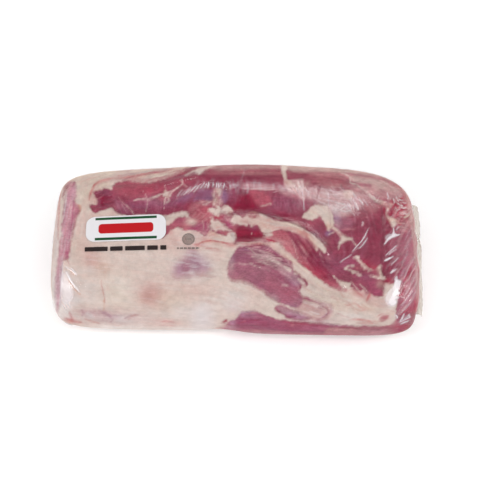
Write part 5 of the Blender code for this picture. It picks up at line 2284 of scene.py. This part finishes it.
# Ring round a fainter disc with a bar in it, over a row of dots
def drawRing(w, a, b):
    f = ring
    far = w.math("SQRT", a * a + b * b)
    line = inked(size(far - f["radius"]) - f["line"] / 2, f["blur"]) * f["lineCover"]
    disc = inked(far - f["radius"], f["blur"]) * f["discCover"]
    bar = inkedBar(a, b, f["bar"], f["fineBlur"]) * f["barCover"]
    gaps = ramp(w.math("SINE", a * f["dotTurns"]), *f["dotCut"])
    dots = inkedBar(a, b, f["dots"], f["fineBlur"], -f["dotsDown"]) * gaps * f["dotCover"]
    return f["brown"], largest(largest(line, disc), largest(dots, bar))


inkMaterial("label ink", labelPiece, drawLabel)
inkMaterial("bar ink", wordPiece, drawWords)
inkMaterial("ring ink", ringPiece, drawRing)
print("materials: made")


# Floor, light and camera

studio = dict(floorSize=6.0, floorDrop=0.0004, glow=0.18, roughness=0.9, paperScale=3.0,
              grey=(0.93, 0.93, 0.93, 1), white=(0.95, 0.95, 0.95, 1))
half, drop = studio["floorSize"] / 2, studio["floorDrop"]
floorCorners = np.array([[a * half, b * half, -drop] for a, b in ((-1, -1), (1, -1), (1, 1), (-1, 1))])
floor = meshOf("floor", floorCorners, [np.array([[0, 1, 2, 3]])])
m, w = material("pale floor")
paper = mixColour(noise(w, objectPlace(w), studio["paperScale"]), studio["grey"], studio["white"])
shader = principled(w, {
    "Base Color": paper, "Roughness": studio["roughness"], "Specular IOR Level": 0.0,
    "Emission Color": (1, 1, 1, 1), "Emission Strength": studio["glow"]})
finishMaterial(m, shader, [floor])
floor.visible_glossy = False

world = bpy.data.worlds.new("studio")
bpy.context.scene.world = world
world.use_nodes = True
w = Wire(world.node_tree)
split = w.node("ShaderNodeSeparateXYZ", {}, {0: w.node("ShaderNodeTexCoord")}, out=2)
g = studioGlow
low = 1 - ramp(split, *g["up"])
behind = ramp(Wire(split.tree, split.socket.node.outputs[1]), *g["back"])
bright = g["rest"] + (g["backdrop"] - g["rest"]) * (low * behind)
world.node_tree.nodes["Background"].inputs["Color"].default_value = (1, 1, 1, 1)
world.node_tree.links.new(bright.socket, world.node_tree.nodes["Background"].inputs["Strength"])


# Rectangular lamp that faces a target
def lamp(name, place, target, width, depth, watts, mirrored=True):
    data = bpy.data.lights.new(name, "AREA")
    data.shape, data.size, data.size_y, data.energy = "RECTANGLE", width, depth, watts
    thing = bpy.data.objects.new(name, data)
    bpy.context.scene.collection.objects.link(thing)
    thing.location = place
    thing.rotation_euler = (Vector(target) - Vector(place)).to_track_quat("-Z", "Y").to_euler()
    thing.visible_glossy = mirrored
    thing.visible_camera = False
    return thing


# Lamps: degrees round from the back towards the right, degrees up, metres away, width and
# height in metres, brightness of the face, and whether the film mirrors it
lamps = {
    "overhead": (180, 78, 1.7, 1.5, 1.5, 1.5, False),
    "front fill": (180, 26, 1.5, 1.8, 0.8, 1.6, False),
    "left fill": (-90, 34, 1.5, 1.2, 0.8, 0.9, False),
    "right fill": (90, 34, 1.5, 1.2, 0.8, 0.7, False),
    "left softbox": (-125, 49, 1.2, 0.34, 0.30, 9.0, True),
    "right softbox": (122, 53, 1.2, 0.34, 0.30, 9.0, True),
    "back strip": (14, 50, 0.95, 0.55, 0.10, 3.1, True),
}
middle = Vector((loin["place"][0] * mm, loin["place"][1] * mm, 0.04))
for name, (azimuth, up, away, wide, high, bright, mirrored) in lamps.items():
    az, el = math.radians(azimuth), math.radians(up)
    level = Vector((math.sin(az), math.cos(az), 0)) * math.cos(el)
    lampAt = middle + away * (level + Vector((0, 0, math.sin(el))))
    lamp(name, lampAt, middle, wide, high, bright * math.pi * wide * high, mirrored)

scene = bpy.context.scene
scene.view_settings.view_transform = "Standard"
camera = bpy.data.objects.new("camera", bpy.data.cameras.new("camera"))
scene.collection.objects.link(camera)
shift = np.array(loin["place"]) - np.array([0, 0, loin["baseCut"]])
target = (aim + shift) * mm
camera.location = (eye + shift) * mm
camera.rotation_euler = (Vector(target) - camera.location).to_track_quat("-Z", "Y").to_euler()
camera.data.sensor_width = lens["sensor"]
camera.data.lens = lens["sensor"] * lens["distance"] / lens["pixelSize"] / lens["frame"]
camera.data.shift_x = 0.5 - lens["middle"][0] / lens["frame"]
camera.data.shift_y = lens["middle"][1] / lens["frame"] - 0.5
camera.data.clip_end = 50
scene.camera = camera
print("camera: lens", round(camera.data.lens, 2))
